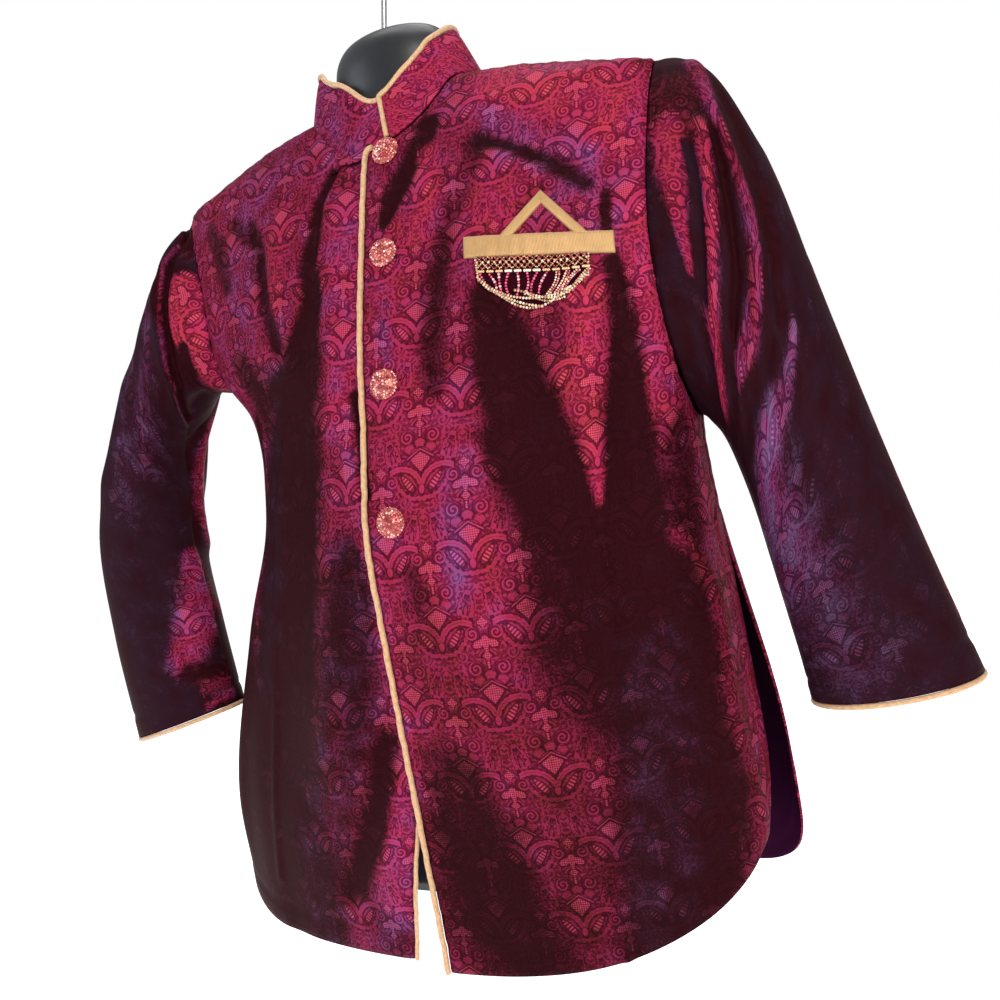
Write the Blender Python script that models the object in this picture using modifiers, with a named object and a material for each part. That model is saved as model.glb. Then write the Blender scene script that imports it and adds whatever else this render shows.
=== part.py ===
"""Child's sherwani coat, worn by a limbless hanging torso form with a wire hook.

Metres, +Z up, the coat faces -Y, so the wearer's left is +X. The origin is the inside top of the hook.
Heights in the tables are above the front hem; place() turns them into the frame's Z.
"""
import math
from collections import namedtuple

import bmesh
import bpy
from mathutils import Vector

# Driving dimensions
HOOK_HEIGHT = 0.680         # origin above the hem
CLOTH = 0.0014              # lined brocade
SEAM = 0.0003               # gap between sewn pieces
NECK_HALF = 0.060           # half width of the oval neck seam, and its reach to front and back
NECK_FRONT = 0.0445
NECK_BACK = 0.0450
NECK_SHIFT = -0.005         # the collar sits off the centre line
NECK_ROOM = 0.0007          # the panels' straight facets stop this far outside the neck seam
SHOULDER_TIP = 0.5037
UNDERARM = {1: 0.301, -1: 0.373}     # the right sleeve is drawn up; 1 is the wearer's left
ARM_HOLLOW = 0.008          # how far the armhole curves in at its middle
SHOULDER_TILT = 0.031       # the worn coat hangs askew: its left shoulder is carried higher
UNDER_DEPTH = 0.0042        # the right front lies this far inside the left one
UNDER_SHORT = 0.006         # the right front, worn under the left, is this much shorter
VENT_TOP = 0.250
VENT_FLARE = {1: 0.013, -1: 0.018}      # how far the back stands out of the fronts at the vents
COLLAR_HEIGHT = 0.032
COLLAR_DIP = 0.006          # how much lower the collar is at its front ends
COLLAR_DROOP = 0.004        # and on the wearer's right side
COLLAR_LEAN = 0.175         # share by which the collar narrows upwards
COLLAR_SWAY = -0.003        # its rim leans this far to the side
COLLAR_WALL = 0.0020
COLLAR_SEAM = 0.0005        # gap under the collar
PIPING = 0.0017             # radius of the edge piping
CUFF_PIPING = 0.0015
BUTTON = 0.0092             # radius
BUTTON_RISE = 0.0062
BUTTON_STAND = 0.0007       # above the cloth, clear of its folds
TRIM = 0.0012               # thickness of the gold band and peak
FORM_FOOT = 0.040           # bottom of the form above the hem
WIRE = 0.0018               # radius of the hook's wire
HOOK_FOOT = -0.0085         # the wire leaves the neck off the centre line
CROOK = 0.021               # radius of the hook's bend

Ring = namedtuple("Ring", "height right left front back")
BODY = [
    Ring(0.000, 0.215, 0.173, 0.096, 0.098),
    Ring(0.100, 0.207, 0.171, 0.104, 0.092),
    Ring(0.200, 0.170, 0.166, 0.110, 0.084),
    Ring(0.260, 0.1450, 0.161, 0.110, 0.080),
    Ring(0.300, 0.1400, 0.160, 0.104, 0.077),
    Ring(0.325, 0.1395, 0.166, 0.099, 0.0755),
    Ring(0.350, 0.1455, 0.175, 0.094, 0.0740),
    Ring(0.375, 0.1640, 0.1805, 0.0875, 0.0718),
    Ring(0.410, 0.1790, 0.186, 0.076, 0.068),
    Ring(0.460, 0.1880, 0.181, 0.0580, 0.0620),
    Ring(0.485, 0.1880, 0.175, 0.0480, 0.0595),
    Ring(0.4935, 0.1850, 0.170, 0.0445, 0.0580),
    Ring(0.5037, 0.1780, 0.163, 0.0395, 0.0560),
    Ring(0.5085, 0.1630, 0.147, 0.0370, 0.0545),
    Ring(0.5140, 0.1470, 0.128, 0.0345, 0.0525),
    Ring(0.5185, 0.1330, 0.111, 0.0325, 0.0505),
    Ring(0.5230, 0.1170, 0.094, 0.0310, 0.0480),
    Ring(0.5265, 0.0970, 0.074, 0.0300, 0.0460),
    Ring(0.5290, 0.0650, 0.055, 0.0290, 0.0440),
]

# Largest folds: a ridge or trough runs from (low_angle, low) to (high_angle, high).
# Angles in degrees from the centre front, + to the wearer's left; width across, depth + outwards.
Fold = namedtuple("Fold", "low_angle low high_angle high width depth")
FOLDS = [
    Fold(14, 0.300, 6, 0.470, 0.016, -0.0035),
    Fold(34, 0.180, 30, 0.430, 0.030, -0.0045),
    Fold(20, 0.060, 14, 0.330, 0.034, 0.0050),
    Fold(54, 0.020, 48, 0.300, 0.030, -0.0040),
    Fold(68, 0.010, 62, 0.300, 0.026, 0.0050),
    Fold(-22, 0.080, -10, 0.330, 0.018, 0.0060),
    Fold(-40, 0.060, -36, 0.420, 0.026, -0.0040),
    Fold(-62, 0.010, -60, 0.300, 0.012, 0.0035),
    Fold(150, 0.020, 158, 0.360, 0.034, 0.0050),
    Fold(182, 0.010, 178, 0.420, 0.040, -0.0045),
    Fold(215, 0.020, 206, 0.360, 0.034, 0.0050),
]

# The fronts' free edges: their distance past the centre line at each height
Edge = namedtuple("Edge", "height across")
LAP_EDGE = [Edge(0.000, -0.0125), Edge(0.150, -0.0105), Edge(0.300, -0.0090), Edge(0.540, -0.0090)]
UNDER_EDGE = [
    Edge(0.000, -0.037), Edge(0.060, -0.026), Edge(0.120, -0.010),
    Edge(0.200, 0.006), Edge(0.300, 0.016), Edge(0.540, 0.016),
]

# Sleeve sections from armhole to cuff: the outer and inner points, seen from the front,
# the front-to-back centre, and half the depth
Cut = namedtuple("Cut", "outer_x outer_h inner_x inner_h mid_y half_y")
SLEEVE = {
    1: [
        Cut(0.163, 0.5037, 0.160, 0.301, 0.000, 0.050),
        Cut(0.178, 0.4985, 0.163, 0.2995, -0.001, 0.050),
        Cut(0.193, 0.4855, 0.167, 0.295, -0.002, 0.049),
        Cut(0.206, 0.459, 0.172, 0.288, -0.003, 0.047),
        Cut(0.2205, 0.416, 0.177, 0.275, -0.005, 0.044),
        Cut(0.236, 0.352, 0.184, 0.2485, -0.008, 0.040),
        Cut(0.2555, 0.276, 0.191, 0.212, -0.012, 0.036),
        Cut(0.275, 0.205, 0.198, 0.172, -0.016, 0.033),
        Cut(0.292, 0.148, 0.203, 0.137, -0.019, 0.031),
    ],
    -1: [
        Cut(0.178, 0.5037, 0.164, 0.373, 0.000, 0.046),
        Cut(0.186, 0.4990, 0.173, 0.371, -0.001, 0.045),
        Cut(0.195, 0.4860, 0.187, 0.367, -0.002, 0.043),
        Cut(0.208, 0.4570, 0.205, 0.357, -0.003, 0.042),
        Cut(0.233, 0.4060, 0.220, 0.336, -0.004, 0.040),
        Cut(0.268, 0.3475, 0.2235, 0.301, -0.006, 0.038),
        Cut(0.302, 0.2840, 0.2235, 0.257, -0.010, 0.035),
        Cut(0.303, 0.2050, 0.2130, 0.203, -0.015, 0.032),
        Cut(0.2935, 0.125, 0.2025, 0.147, -0.019, 0.030),
    ],
}

# Form: clearance inside the cloth at each height, then the neck's own rings
Gap = namedtuple("Gap", "height clear")
FORM_GAPS = [
    Gap(0.040, 0.012), Gap(0.200, 0.012), Gap(0.330, 0.009), Gap(0.430, 0.008),
    Gap(0.480, 0.0075), Gap(0.504, 0.0060), Gap(0.529, 0.0050),
]
FORM_FRONT_GAP = 0.005      # more room behind the lapped fronts
FORM_ARM = 0.140            # the form ends here at each shoulder
Neck = namedtuple("Neck", "height half_x half_y mid_y")
FORM_NECK = [
    Neck(0.5290, 0.0440, 0.0295, 0.002), Neck(0.5350, 0.0430, 0.0285, 0.002), Neck(0.5450, 0.0425, 0.0282, 0.002),
    Neck(0.5555, 0.0415, 0.0276, 0.002), Neck(0.5630, 0.0388, 0.0258, 0.002), Neck(0.5690, 0.0336, 0.0222, 0.002),
    Neck(0.5725, 0.0262, 0.0173, 0.002), Neck(0.5740, 0.0178, 0.0118, 0.002),
]


def mix(a, b, share):
    return a + (b - a) * share


def ease(low, high, value):
    share = min(1.0, max(0.0, (value - low) / (high - low)))
    return share * share * (3 - 2 * share)


def place(x, y, height):
    """A point of the coat in the frame; above the waist the coat leans with the shoulders."""
    lean = SHOULDER_TILT * x * ease(0.20, 0.45, height) * ease(0.60, 0.54, height)
    return Vector((x, y, height + lean - HOOK_HEIGHT))


def read(rows, at, column):
    """Reads a column of a table between its rows, as a smooth curve through them."""
    keys = [row[0] for row in rows]
    values = [getattr(row, column) for row in rows]
    if at <= keys[0]:
        return values[0]
    if at >= keys[-1]:
        return values[-1]
    i = max(k for k in range(len(keys) - 1) if keys[k] <= at)
    step = keys[i + 1] - keys[i]
    share = (at - keys[i]) / step

    def slope(k):
        a, b = max(k - 1, 0), min(k + 1, len(keys) - 1)
        return (values[b] - values[a]) / (keys[b] - keys[a]) * step

    h = share * share
    c = h * share
    return ((2 * c - 3 * h + 1) * values[i] + (c - 2 * h + share) * slope(i)
            + (3 * h - 2 * c) * values[i + 1] + (c - h) * slope(i + 1))


def half_width(angle, height):
    return read(BODY, height, "left" if math.sin(angle) >= 0 else "right")


def flare(angle, height):
    """The back stands out at the vents."""
    if math.cos(angle) > 0:
        return 0.0
    side = 1 if math.sin(angle) > 0 else -1
    return VENT_FLARE[side] * abs(math.sin(angle)) ** 6 * ease(VENT_TOP, VENT_TOP - 0.15, height)


def plain_skin(angle, height):
    """Outer face of the body at an angle from the centre front, without folds."""
    depth = -read(BODY, height, "front") if math.cos(angle) > 0 else read(BODY, height, "back")
    reach = half_width(angle, height) + flare(angle, height)
    return place(reach * math.sin(angle), depth * abs(math.cos(angle)), height)


def outward(angle, height):
    step = 0.002
    along = plain_skin(angle + step, height) - plain_skin(angle - step, height)
    up = plain_skin(angle, height + 0.0005) - plain_skin(angle, height - 0.0005)
    return along.cross(up).normalized()


def fold(angle, height):
    total = 0.0
    reach = half_width(angle, height)
    for row in FOLDS:
        share = (height - row.low) / (row.high - row.low)
        if not 0 < share < 1:
            continue
        middle = math.radians(mix(row.low_angle, row.high_angle, share))
        turn = (angle - middle + math.pi) % math.tau - math.pi
        across = turn * reach * 0.75 / row.width
        ends = min(1.0, 3.5 * share, 3.5 * (1 - share))
        total += row.depth * ends * ends * (3 - 2 * ends) * math.exp(-across * across)
    return total


def skin(angle, height, out=0.0):
    return plain_skin(angle, height) + outward(angle, height) * (out + fold(angle, height))


def angle_at(across, height):
    """Front angle of the point this far across at this height."""
    reach = half_width(math.asin(max(-1, min(1, across * 4))), height)
    return math.asin(max(-1.0, min(1.0, across / reach)))


def arm_angle(side, height):
    """Angle from the front at which the armhole's edge lies; the side is 1 for the wearer's left."""
    low = UNDERARM[side]
    along = min(1.0, max(0.0, (height - low) / (SHOULDER_TIP - low)))
    straight = mix(half_width(side, low), half_width(side, SHOULDER_TIP), along)
    across = straight - ARM_HOLLOW * math.sin(math.pi * along)
    return math.asin(min(1.0, across / half_width(side, height)))


def seam_turn(height, back=False):
    """Half a seam gap as an angle; facets need more room, most of all over the shoulder's ridge."""
    room = SEAM * (1.5 + ease(SHOULDER_TIP - 0.01, SHOULDER_TIP, height))
    return room / 2 / read(BODY, height, "back" if back else "front")


def neck_seam(turn, room=0.0):
    """Angle and height on the body where the oval of the neck seam meets it."""
    x = NECK_SHIFT + (NECK_HALF + room) * math.sin(turn)
    wide = "left" if x > 0 else "right"
    y = ((NECK_FRONT if math.cos(turn) > 0 else NECK_BACK) + room) * math.cos(turn)
    column = "front" if y > 0 else "back"
    low, high = SHOULDER_TIP - 0.02, BODY[-1].height
    for _ in range(30):
        height = (low + high) / 2
        if math.hypot(x / read(BODY, height, wide), y / read(BODY, height, column)) > 1:
            high = height
        else:
            low = height
    return math.atan2(x / read(BODY, low, wide), y / read(BODY, low, column)) % math.tau, low


def material(name, color, roughness, metallic=0.0):
    made = bpy.data.materials.new(name)
    made.use_nodes = True
    shader = made.node_tree.nodes["Principled BSDF"]
    shader.inputs["Base Color"].default_value = (*color, 1)
    shader.inputs["Roughness"].default_value = roughness
    shader.inputs["Metallic"].default_value = metallic
    return made


def add_object(name, data, finish, collection):
    made = bpy.data.objects.new(name, data)
    data.materials.append(finish)
    collection.objects.link(made)
    return made


def sheet(name, columns, rows, surface, thickness, finish, collection, closed=False):
    """A grid laid on surface(u, v), welded where it closes on itself, and thickened inwards."""
    bm = bmesh.new()
    bmesh.ops.create_grid(bm, x_segments=columns, y_segments=rows, size=0.5)
    for vertex in bm.verts:
        vertex.co = surface(vertex.co.x + 0.5, vertex.co.y + 0.5)
    if closed:
        bmesh.ops.remove_doubles(bm, verts=bm.verts, dist=1e-6)
    data = bpy.data.meshes.new(name)
    bm.to_mesh(data)
    bm.free()
    data.shade_smooth()
    made = add_object(name, data, finish, collection)
    shell = made.modifiers.new("wall", "SOLIDIFY")
    shell.thickness = thickness
    shell.offset = -1
    shell.use_even_offset = True
    return made


def tube(name, points, radius, finish, collection, closed=False, sides=0):
    curve = bpy.data.curves.new(name, "CURVE")
    curve.dimensions = "3D"
    curve.bevel_depth = radius
    curve.bevel_resolution = sides
    curve.use_fill_caps = not closed
    spline = curve.splines.new("POLY")
    spline.points.add(len(points) - 1)
    for target, point in zip(spline.points, points):
        target.co = (*point, 1)
    spline.use_cyclic_u = closed
    return add_object(name, curve, finish, collection)


def turned(name, profile, steps, finish, collection):
    """Turns a profile of (radius, height) points about Z; it runs down the outer side."""
    data = bpy.data.meshes.new(name)
    bm = bmesh.new()
    spots = [bm.verts.new((radius, 0, height)) for radius, height in profile]
    for start, end in zip(spots, spots[1:]):
        bm.edges.new((start, end))
    bm.to_mesh(data)
    bm.free()
    made = add_object(name, data, finish, collection)
    screw = made.modifiers.new("turn", "SCREW")
    screw.steps = steps
    screw.render_steps = steps
    screw.use_merge_vertices = True
    screw.merge_threshold = 0.00001
    screw.use_normal_calculate = True
    return made


# ---- fronts and back -------------------------------------------------------------------------------

PANEL_ROWS = 26
SKIRT_ROWS = 14             # rows below the underarm
EDGE_ROWS = 21              # rows below the front neck
SKIRT_SHARE = SKIRT_ROWS / PANEL_ROWS
FRONT_NECK_SHARE = (EDGE_ROWS - SKIRT_ROWS) / (PANEL_ROWS - SKIRT_ROWS)
BACK_NECK = 0.36            # share of the back's columns over each shoulder
BEND = 0.72                 # cloth per radian near the side, as a share of the half width


# Rounded corners of the hem at the side vents: the power is 0.5 for a quarter of an ellipse
Corner = namedtuple("Corner", "wide tall power")
FRONT_CORNER = {1: Corner(0.182, 0.112, 0.60), -1: Corner(0.130, 0.100, 0.50)}
BACK_CORNER = {1: Corner(0.110, 0.098, 0.50), -1: Corner(0.130, 0.100, 0.50)}


def hem_height(corner, side_distance):
    """The hem is level, and rounds up to the vent near the side."""
    inset = 1 - min(corner.wide, max(0.0, side_distance)) / corner.wide
    return corner.tall * (1 - (1 - inset ** 2) ** corner.power)


def coons(bottom, top, left, right, u, t):
    corners = mix(mix(bottom(0), bottom(1), u), mix(top(0), top(1), u), t)
    return mix(bottom(u), top(u), t) + mix(left(t), right(t), u) - corners


def armhole_height(side, t):
    return mix(UNDERARM[side], SHOULDER_TIP, (1 - math.cos(math.pi * t)) / 2)


def front_path(side, edge_across, u, v):
    """Angle and height on a front: u runs from its free edge to the side, v from hem to shoulder.

    The side is 1 for the wearer's left and -1 for the right.
    """
    def edge(height):
        return side * angle_at(edge_across(height), height)

    def side_turn(height):
        return math.pi / 2 - seam_turn(height)

    if v < SKIRT_SHARE:
        rise = v / SKIRT_SHARE
        height = mix(0.0, UNDERARM[side], rise)
        angle = mix(edge(height), side_turn(height), u)
        hem = hem_height(FRONT_CORNER[side], (side_turn(0.0) - angle) * half_width(side, 0.0) * BEND)
        if side < 0:
            hem += UNDER_SHORT * ease(math.pi / 2, math.pi / 3, angle)
        return angle, mix(hem, UNDERARM[side], rise)
    t = (v - SKIRT_SHARE) / (1 - SKIRT_SHARE)

    def bottom(s):
        return Vector((mix(edge(UNDERARM[side]), side_turn(UNDERARM[side]), s), UNDERARM[side]))

    def top(s):
        height = mix(BODY[-1].height, SHOULDER_TIP, s)
        return Vector((side_turn(height), height))

    def free(s):
        start = side * math.asin((edge_across(SHOULDER_TIP) - NECK_SHIFT) / (NECK_HALF + NECK_ROOM))
        if s < FRONT_NECK_SHARE:
            height = mix(UNDERARM[side], neck_seam(side * start, NECK_ROOM)[1], s / FRONT_NECK_SHARE)
            return Vector((edge(height), height))
        turn = mix(start, math.pi / 2, (s - FRONT_NECK_SHARE) / (1 - FRONT_NECK_SHARE))
        angle, height = neck_seam(side * turn, NECK_ROOM)
        angle = side * ((angle + math.pi) % math.tau - math.pi)
        return Vector((min(angle, side_turn(height)), height))

    def arm(s):
        height = armhole_height(side, s)
        return Vector((min(arm_angle(side, height), side_turn(height)), height))

    return tuple(coons(bottom, top, free, arm, u, t))


def left_front_point(u, v, out=0.0):
    angle, height = front_path(1, lambda h: read(LAP_EDGE, h, "across"), u, v)
    return skin(angle, height, out)


def right_front_point(u, v, out=0.0):
    """Mirrored, so u is turned round to keep the grid's face outwards."""
    angle, height = front_path(-1, lambda h: read(UNDER_EDGE, h, "across"), 1 - u, v)
    tucked = UNDER_DEPTH * ease(0.042, 0.017, half_width(-angle, height) * math.sin(angle))
    return skin(-angle, height, out - tucked)


def back_point(u, v, out=0.0):
    def side_turn(height):
        return math.pi / 2 + seam_turn(height, back=True)

    def around(s, height):
        return mix(side_turn(height), math.tau - side_turn(height), s)

    underarm = mix(UNDERARM[1], UNDERARM[-1], u)
    if v < SKIRT_SHARE:
        rise = v / SKIRT_SHARE
        angle = around(u, mix(0.0, underarm, rise))
        side = 1 if u < 0.5 else -1
        nearest = min(u, 1 - u) * math.pi * half_width(side, 0.0) * BEND
        return skin(angle, mix(hem_height(BACK_CORNER[side], nearest), underarm, rise), out)
    t = (v - SKIRT_SHARE) / (1 - SKIRT_SHARE)
    neck_start, neck_end = BACK_NECK, 1 - BACK_NECK

    def bottom(s):
        height = mix(UNDERARM[1], UNDERARM[-1], s)
        return Vector((around(s, height), height))

    def top(s):
        peak = BODY[-1].height
        if s < neck_start:
            height = mix(SHOULDER_TIP, peak, s / neck_start)
            return Vector((side_turn(height), height))
        if s > neck_end:
            height = mix(peak, SHOULDER_TIP, (s - neck_end) / (1 - neck_end))
            return Vector((math.tau - side_turn(height), height))
        turn = mix(math.pi / 2, 3 * math.pi / 2, (s - neck_start) / (neck_end - neck_start))
        angle, height = neck_seam(turn, NECK_ROOM)
        return Vector((min(max(angle, side_turn(height)), math.tau - side_turn(height)), height))

    def arm(side, s):
        height = armhole_height(side, s)
        return max(math.pi - arm_angle(side, height), side_turn(height)), height

    def left_arm(s):
        return Vector(arm(1, s))

    def right_arm(s):
        angle, height = arm(-1, s)
        return Vector((math.tau - angle, height))

    angle, height = coons(bottom, top, left_arm, right_arm, u, t)
    return skin(angle, height, out)


# ---- sleeves ---------------------------------------------------------------------------------------

def armhole_point(side, turn):
    """Edge of the armhole; turn 0 is the shoulder tip, and it runs round by the front."""
    height = mix(UNDERARM[side], SHOULDER_TIP, (1 + math.cos(turn)) / 2)
    angle = arm_angle(side, height)
    if math.sin(turn) < 0:
        angle = math.pi - angle
    point = skin(side * angle, height)
    point.x += side * SEAM
    return point


def sleeve_ellipse(side, row, turn):
    rows = SLEEVE[side]
    i = min(int(row), len(rows) - 2)
    share = row - i

    def column(name):
        keys = [Edge(k, getattr(cut, name)) for k, cut in enumerate(rows)]
        return read(keys, i + share, "across")

    outer = place(column("outer_x"), 0, column("outer_h"))
    inner = place(column("inner_x"), 0, column("inner_h"))
    point = mix(inner, outer, (1 + math.cos(turn)) / 2)
    point.y = column("mid_y") - column("half_y") * math.sin(turn)
    point.x *= side
    return point


def sleeve_point(side, u, v):
    """u runs round the sleeve and v from cuff to armhole."""
    turn = -side * math.tau * u
    row = (1 - v) * (len(SLEEVE[side]) - 1)
    fade = 1 - ease(0.0, 3.0, row)
    return sleeve_ellipse(side, row, turn) + (armhole_point(side, turn) - sleeve_ellipse(side, 0, turn)) * fade


def cuff_ring(side, count):
    last = len(SLEEVE[side]) - 1
    middle = sleeve_ellipse(side, last, 0) * 0.5 + sleeve_ellipse(side, last, math.pi) * 0.5
    above = sleeve_ellipse(side, last - 1, 0) * 0.5 + sleeve_ellipse(side, last - 1, math.pi) * 0.5
    down = (middle - above).normalized() * (CUFF_PIPING + SEAM)
    points = []
    for k in range(count):
        point = sleeve_ellipse(side, last, math.tau * k / count)
        inwards = (middle - point).normalized() * (CLOTH / 2)
        points.append(point + down + inwards)
    return points


# ---- collar ----------------------------------------------------------------------------------------

COLLAR_LEFT_END = math.radians(11)      # the wearer's left end laps over
COLLAR_RIGHT_END = math.radians(23)     # the right end lies under it
COLLAR_TUCK = 0.0030                    # and lies this far inside


def collar_point(turn, rise, out=0.0):
    """turn runs from the left end round the back to the right end, rise from seam to rim in metres."""
    front = max(0.0, math.cos(turn))
    full = COLLAR_HEIGHT - COLLAR_DIP * front ** 14 - COLLAR_DROOP * max(0.0, -math.sin(turn))
    base = plain_skin(*neck_seam(turn))
    tuck = COLLAR_TUCK * ease(math.tau - 1.1, math.tau - 0.1, turn)
    along = rise / COLLAR_HEIGHT
    centre = NECK_SHIFT + COLLAR_SWAY * along
    reach = math.hypot(base.x - NECK_SHIFT, base.y)
    share = 1 - COLLAR_LEAN * along + (out - tuck) / reach
    return Vector((centre + (base.x - NECK_SHIFT) * share, base.y * share, base.z + COLLAR_SEAM + along * full))


def collar_turn(u):
    return mix(COLLAR_LEFT_END, math.tau + COLLAR_RIGHT_END, u)


def collar_rim_path():
    """Up the lapping end, then round the rim to the other end."""
    lift = PIPING + SEAM
    points = []
    for k in range(5):
        rise = mix(0.002, COLLAR_HEIGHT + lift, k / 4)
        point = collar_point(COLLAR_LEFT_END, rise, -COLLAR_WALL / 2)
        point.x -= lift
        points.append(point)
    for k in range(1, 36):
        points.append(collar_point(collar_turn(k / 36), COLLAR_HEIGHT + lift, -COLLAR_WALL / 2))
    return points


# ---- form and hook ---------------------------------------------------------------------------------

def form_point(angle, height):
    clear = read(FORM_GAPS, height, "clear") + FORM_FRONT_GAP * max(0.0, math.cos(angle)) ** 2
    on_ridge = abs(math.sin(angle)) ** 24 * ease(0.496, 0.5035, height)
    point = plain_skin(angle, height) - outward(angle, height) * (CLOTH + mix(clear, 0.0007, on_ridge))
    point.x /= (1 + abs(point.x / FORM_ARM) ** 10) ** 0.1
    throat = FORM_NECK[0].half_y * max(0.0, math.cos(angle))
    if point.y < 0:
        point.y = mix(point.y, max(point.y, -throat), ease(0.478, 0.500, height))
    return point


def neck_point(angle, ring):
    return place(NECK_SHIFT + ring.half_x * math.sin(angle), ring.mid_y - ring.half_y * math.cos(angle), ring.height)


def build_form(finish, collection):
    body_heights = [mix(FORM_FOOT, 0.470, k / 13) for k in range(14)] + [0.482, 0.491, 0.499, 0.506, 0.512, 0.518, 0.524]
    rings = [lambda a, h=h: form_point(a, h) for h in body_heights]
    rings += [lambda a, r=r: neck_point(a, r) for r in FORM_NECK]
    bm = bmesh.new()
    bmesh.ops.create_grid(bm, x_segments=36, y_segments=len(rings) - 1, size=0.5)
    for vertex in bm.verts:
        row = round((vertex.co.y + 0.5) * (len(rings) - 1))
        vertex.co = rings[row](math.tau * (vertex.co.x + 0.5))
    bmesh.ops.remove_doubles(bm, verts=bm.verts, dist=1e-6)
    bmesh.ops.holes_fill(bm, edges=[edge for edge in bm.edges if edge.is_boundary], sides=0)
    data = bpy.data.meshes.new("torso_form")
    bm.to_mesh(data)
    bm.free()
    data.shade_smooth()
    add_object("torso_form", data, finish, collection)


def hook_path():
    """Up from the neck, out to the crook and over it; the crook's inside top is the origin."""
    centre = Vector((0, 0, WIRE - CROOK))
    foot = place(HOOK_FOOT, 0, FORM_NECK[-1].height + 2 * SEAM)
    stem = centre.z - CROOK * 1.9
    points = [foot, mix(foot, Vector((0, 0, stem)), 0.5), Vector((0, 0, stem))]
    start = math.radians(-52)
    joint = centre + Vector((math.cos(start), 0, math.sin(start))) * CROOK
    for k in range(1, 5):
        share = k / 5
        points.append(Vector((joint.x * ease(0, 1, share), 0, mix(stem, joint.z, share))))
    for k in range(17):
        turn = mix(start, math.radians(205), k / 16)
        points.append(centre + Vector((math.cos(turn), 0, math.sin(turn))) * CROOK)
    return points


# ---- trim ------------------------------------------------------------------------------------------

Button = namedtuple("Button", "across height")
BUTTONS = [Button(0.0045, 0.487), Button(0.0045, 0.424), Button(0.0050, 0.347), Button(0.0050, 0.270)]
POCKET_NEAR, POCKET_FAR = 0.0555, 0.1370    # the band's ends across the front
POCKET_START, POCKET_FALL = 0.4142, 0.0147      # its middle height at the near end, and its slope over the band
POCKET_TALL = 0.0125
PEAK_HALF, PEAK_RISE, PEAK_STRIP = 0.0245, 0.0255, 0.0058
PEAK_SHIFT = 0.004          # its middle lies this far past the band's
BROOCH_NEAR, BROOCH_FAR, BROOCH_DROP = 0.0625, 0.1235, 0.030
BROOCH_END = 0.004          # its depth at each end
BROOCH_WALL = 0.0025


def on_front(across, height, out):
    return skin(angle_at(across, height), height, out)


def pocket_point(along, rise, out):
    """A point by its distance along the band from its near end and above its middle line."""
    share = along / (POCKET_FAR - POCKET_NEAR)
    return on_front(POCKET_NEAR + along, POCKET_START - POCKET_FALL * share + rise, out)


def band_point(u, v):
    return pocket_point(u * (POCKET_FAR - POCKET_NEAR), (v - 0.5) * POCKET_TALL, SEAM + TRIM)


def peak_point(u, v):
    """Inverted V: u runs from one foot over the apex to the other, v across the strip."""
    side = 2 * u - 1
    rise = PEAK_RISE - PEAK_STRIP * math.sqrt(2) * (1 - v)
    half = rise * PEAK_HALF / PEAK_RISE
    foot = POCKET_TALL / 2 + SEAM
    middle = (POCKET_FAR - POCKET_NEAR) / 2 + PEAK_SHIFT
    return pocket_point(middle + side * half, foot + rise * (1 - abs(side)), SEAM + TRIM)


def brooch_point(u, v):
    drop = mix(BROOCH_END, BROOCH_DROP, math.sqrt(max(0.0, 1 - (2 * u - 1) ** 2)))
    top = -POCKET_TALL / 2 - SEAM
    return pocket_point(mix(BROOCH_NEAR, BROOCH_FAR, u) - POCKET_NEAR, mix(top - drop, top, v), SEAM + BROOCH_WALL)


def build_buttons(finish, collection):
    profile = [(0.0, BUTTON_RISE), (BUTTON * 0.45, BUTTON_RISE * 0.90), (BUTTON * 0.80, BUTTON_RISE * 0.58),
               (BUTTON, BUTTON_RISE * 0.16), (BUTTON * 0.96, 0.0), (0.0, 0.0)]
    for number, row in enumerate(BUTTONS, 1):
        made = turned(f"button_{number}", profile, 18, finish, collection)
        angle = angle_at(row.across, row.height)
        made.location = skin(angle, row.height, BUTTON_STAND)
        made.rotation_mode = "QUATERNION"
        made.rotation_quaternion = outward(angle, row.height).to_track_quat("Z", "Y")


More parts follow.
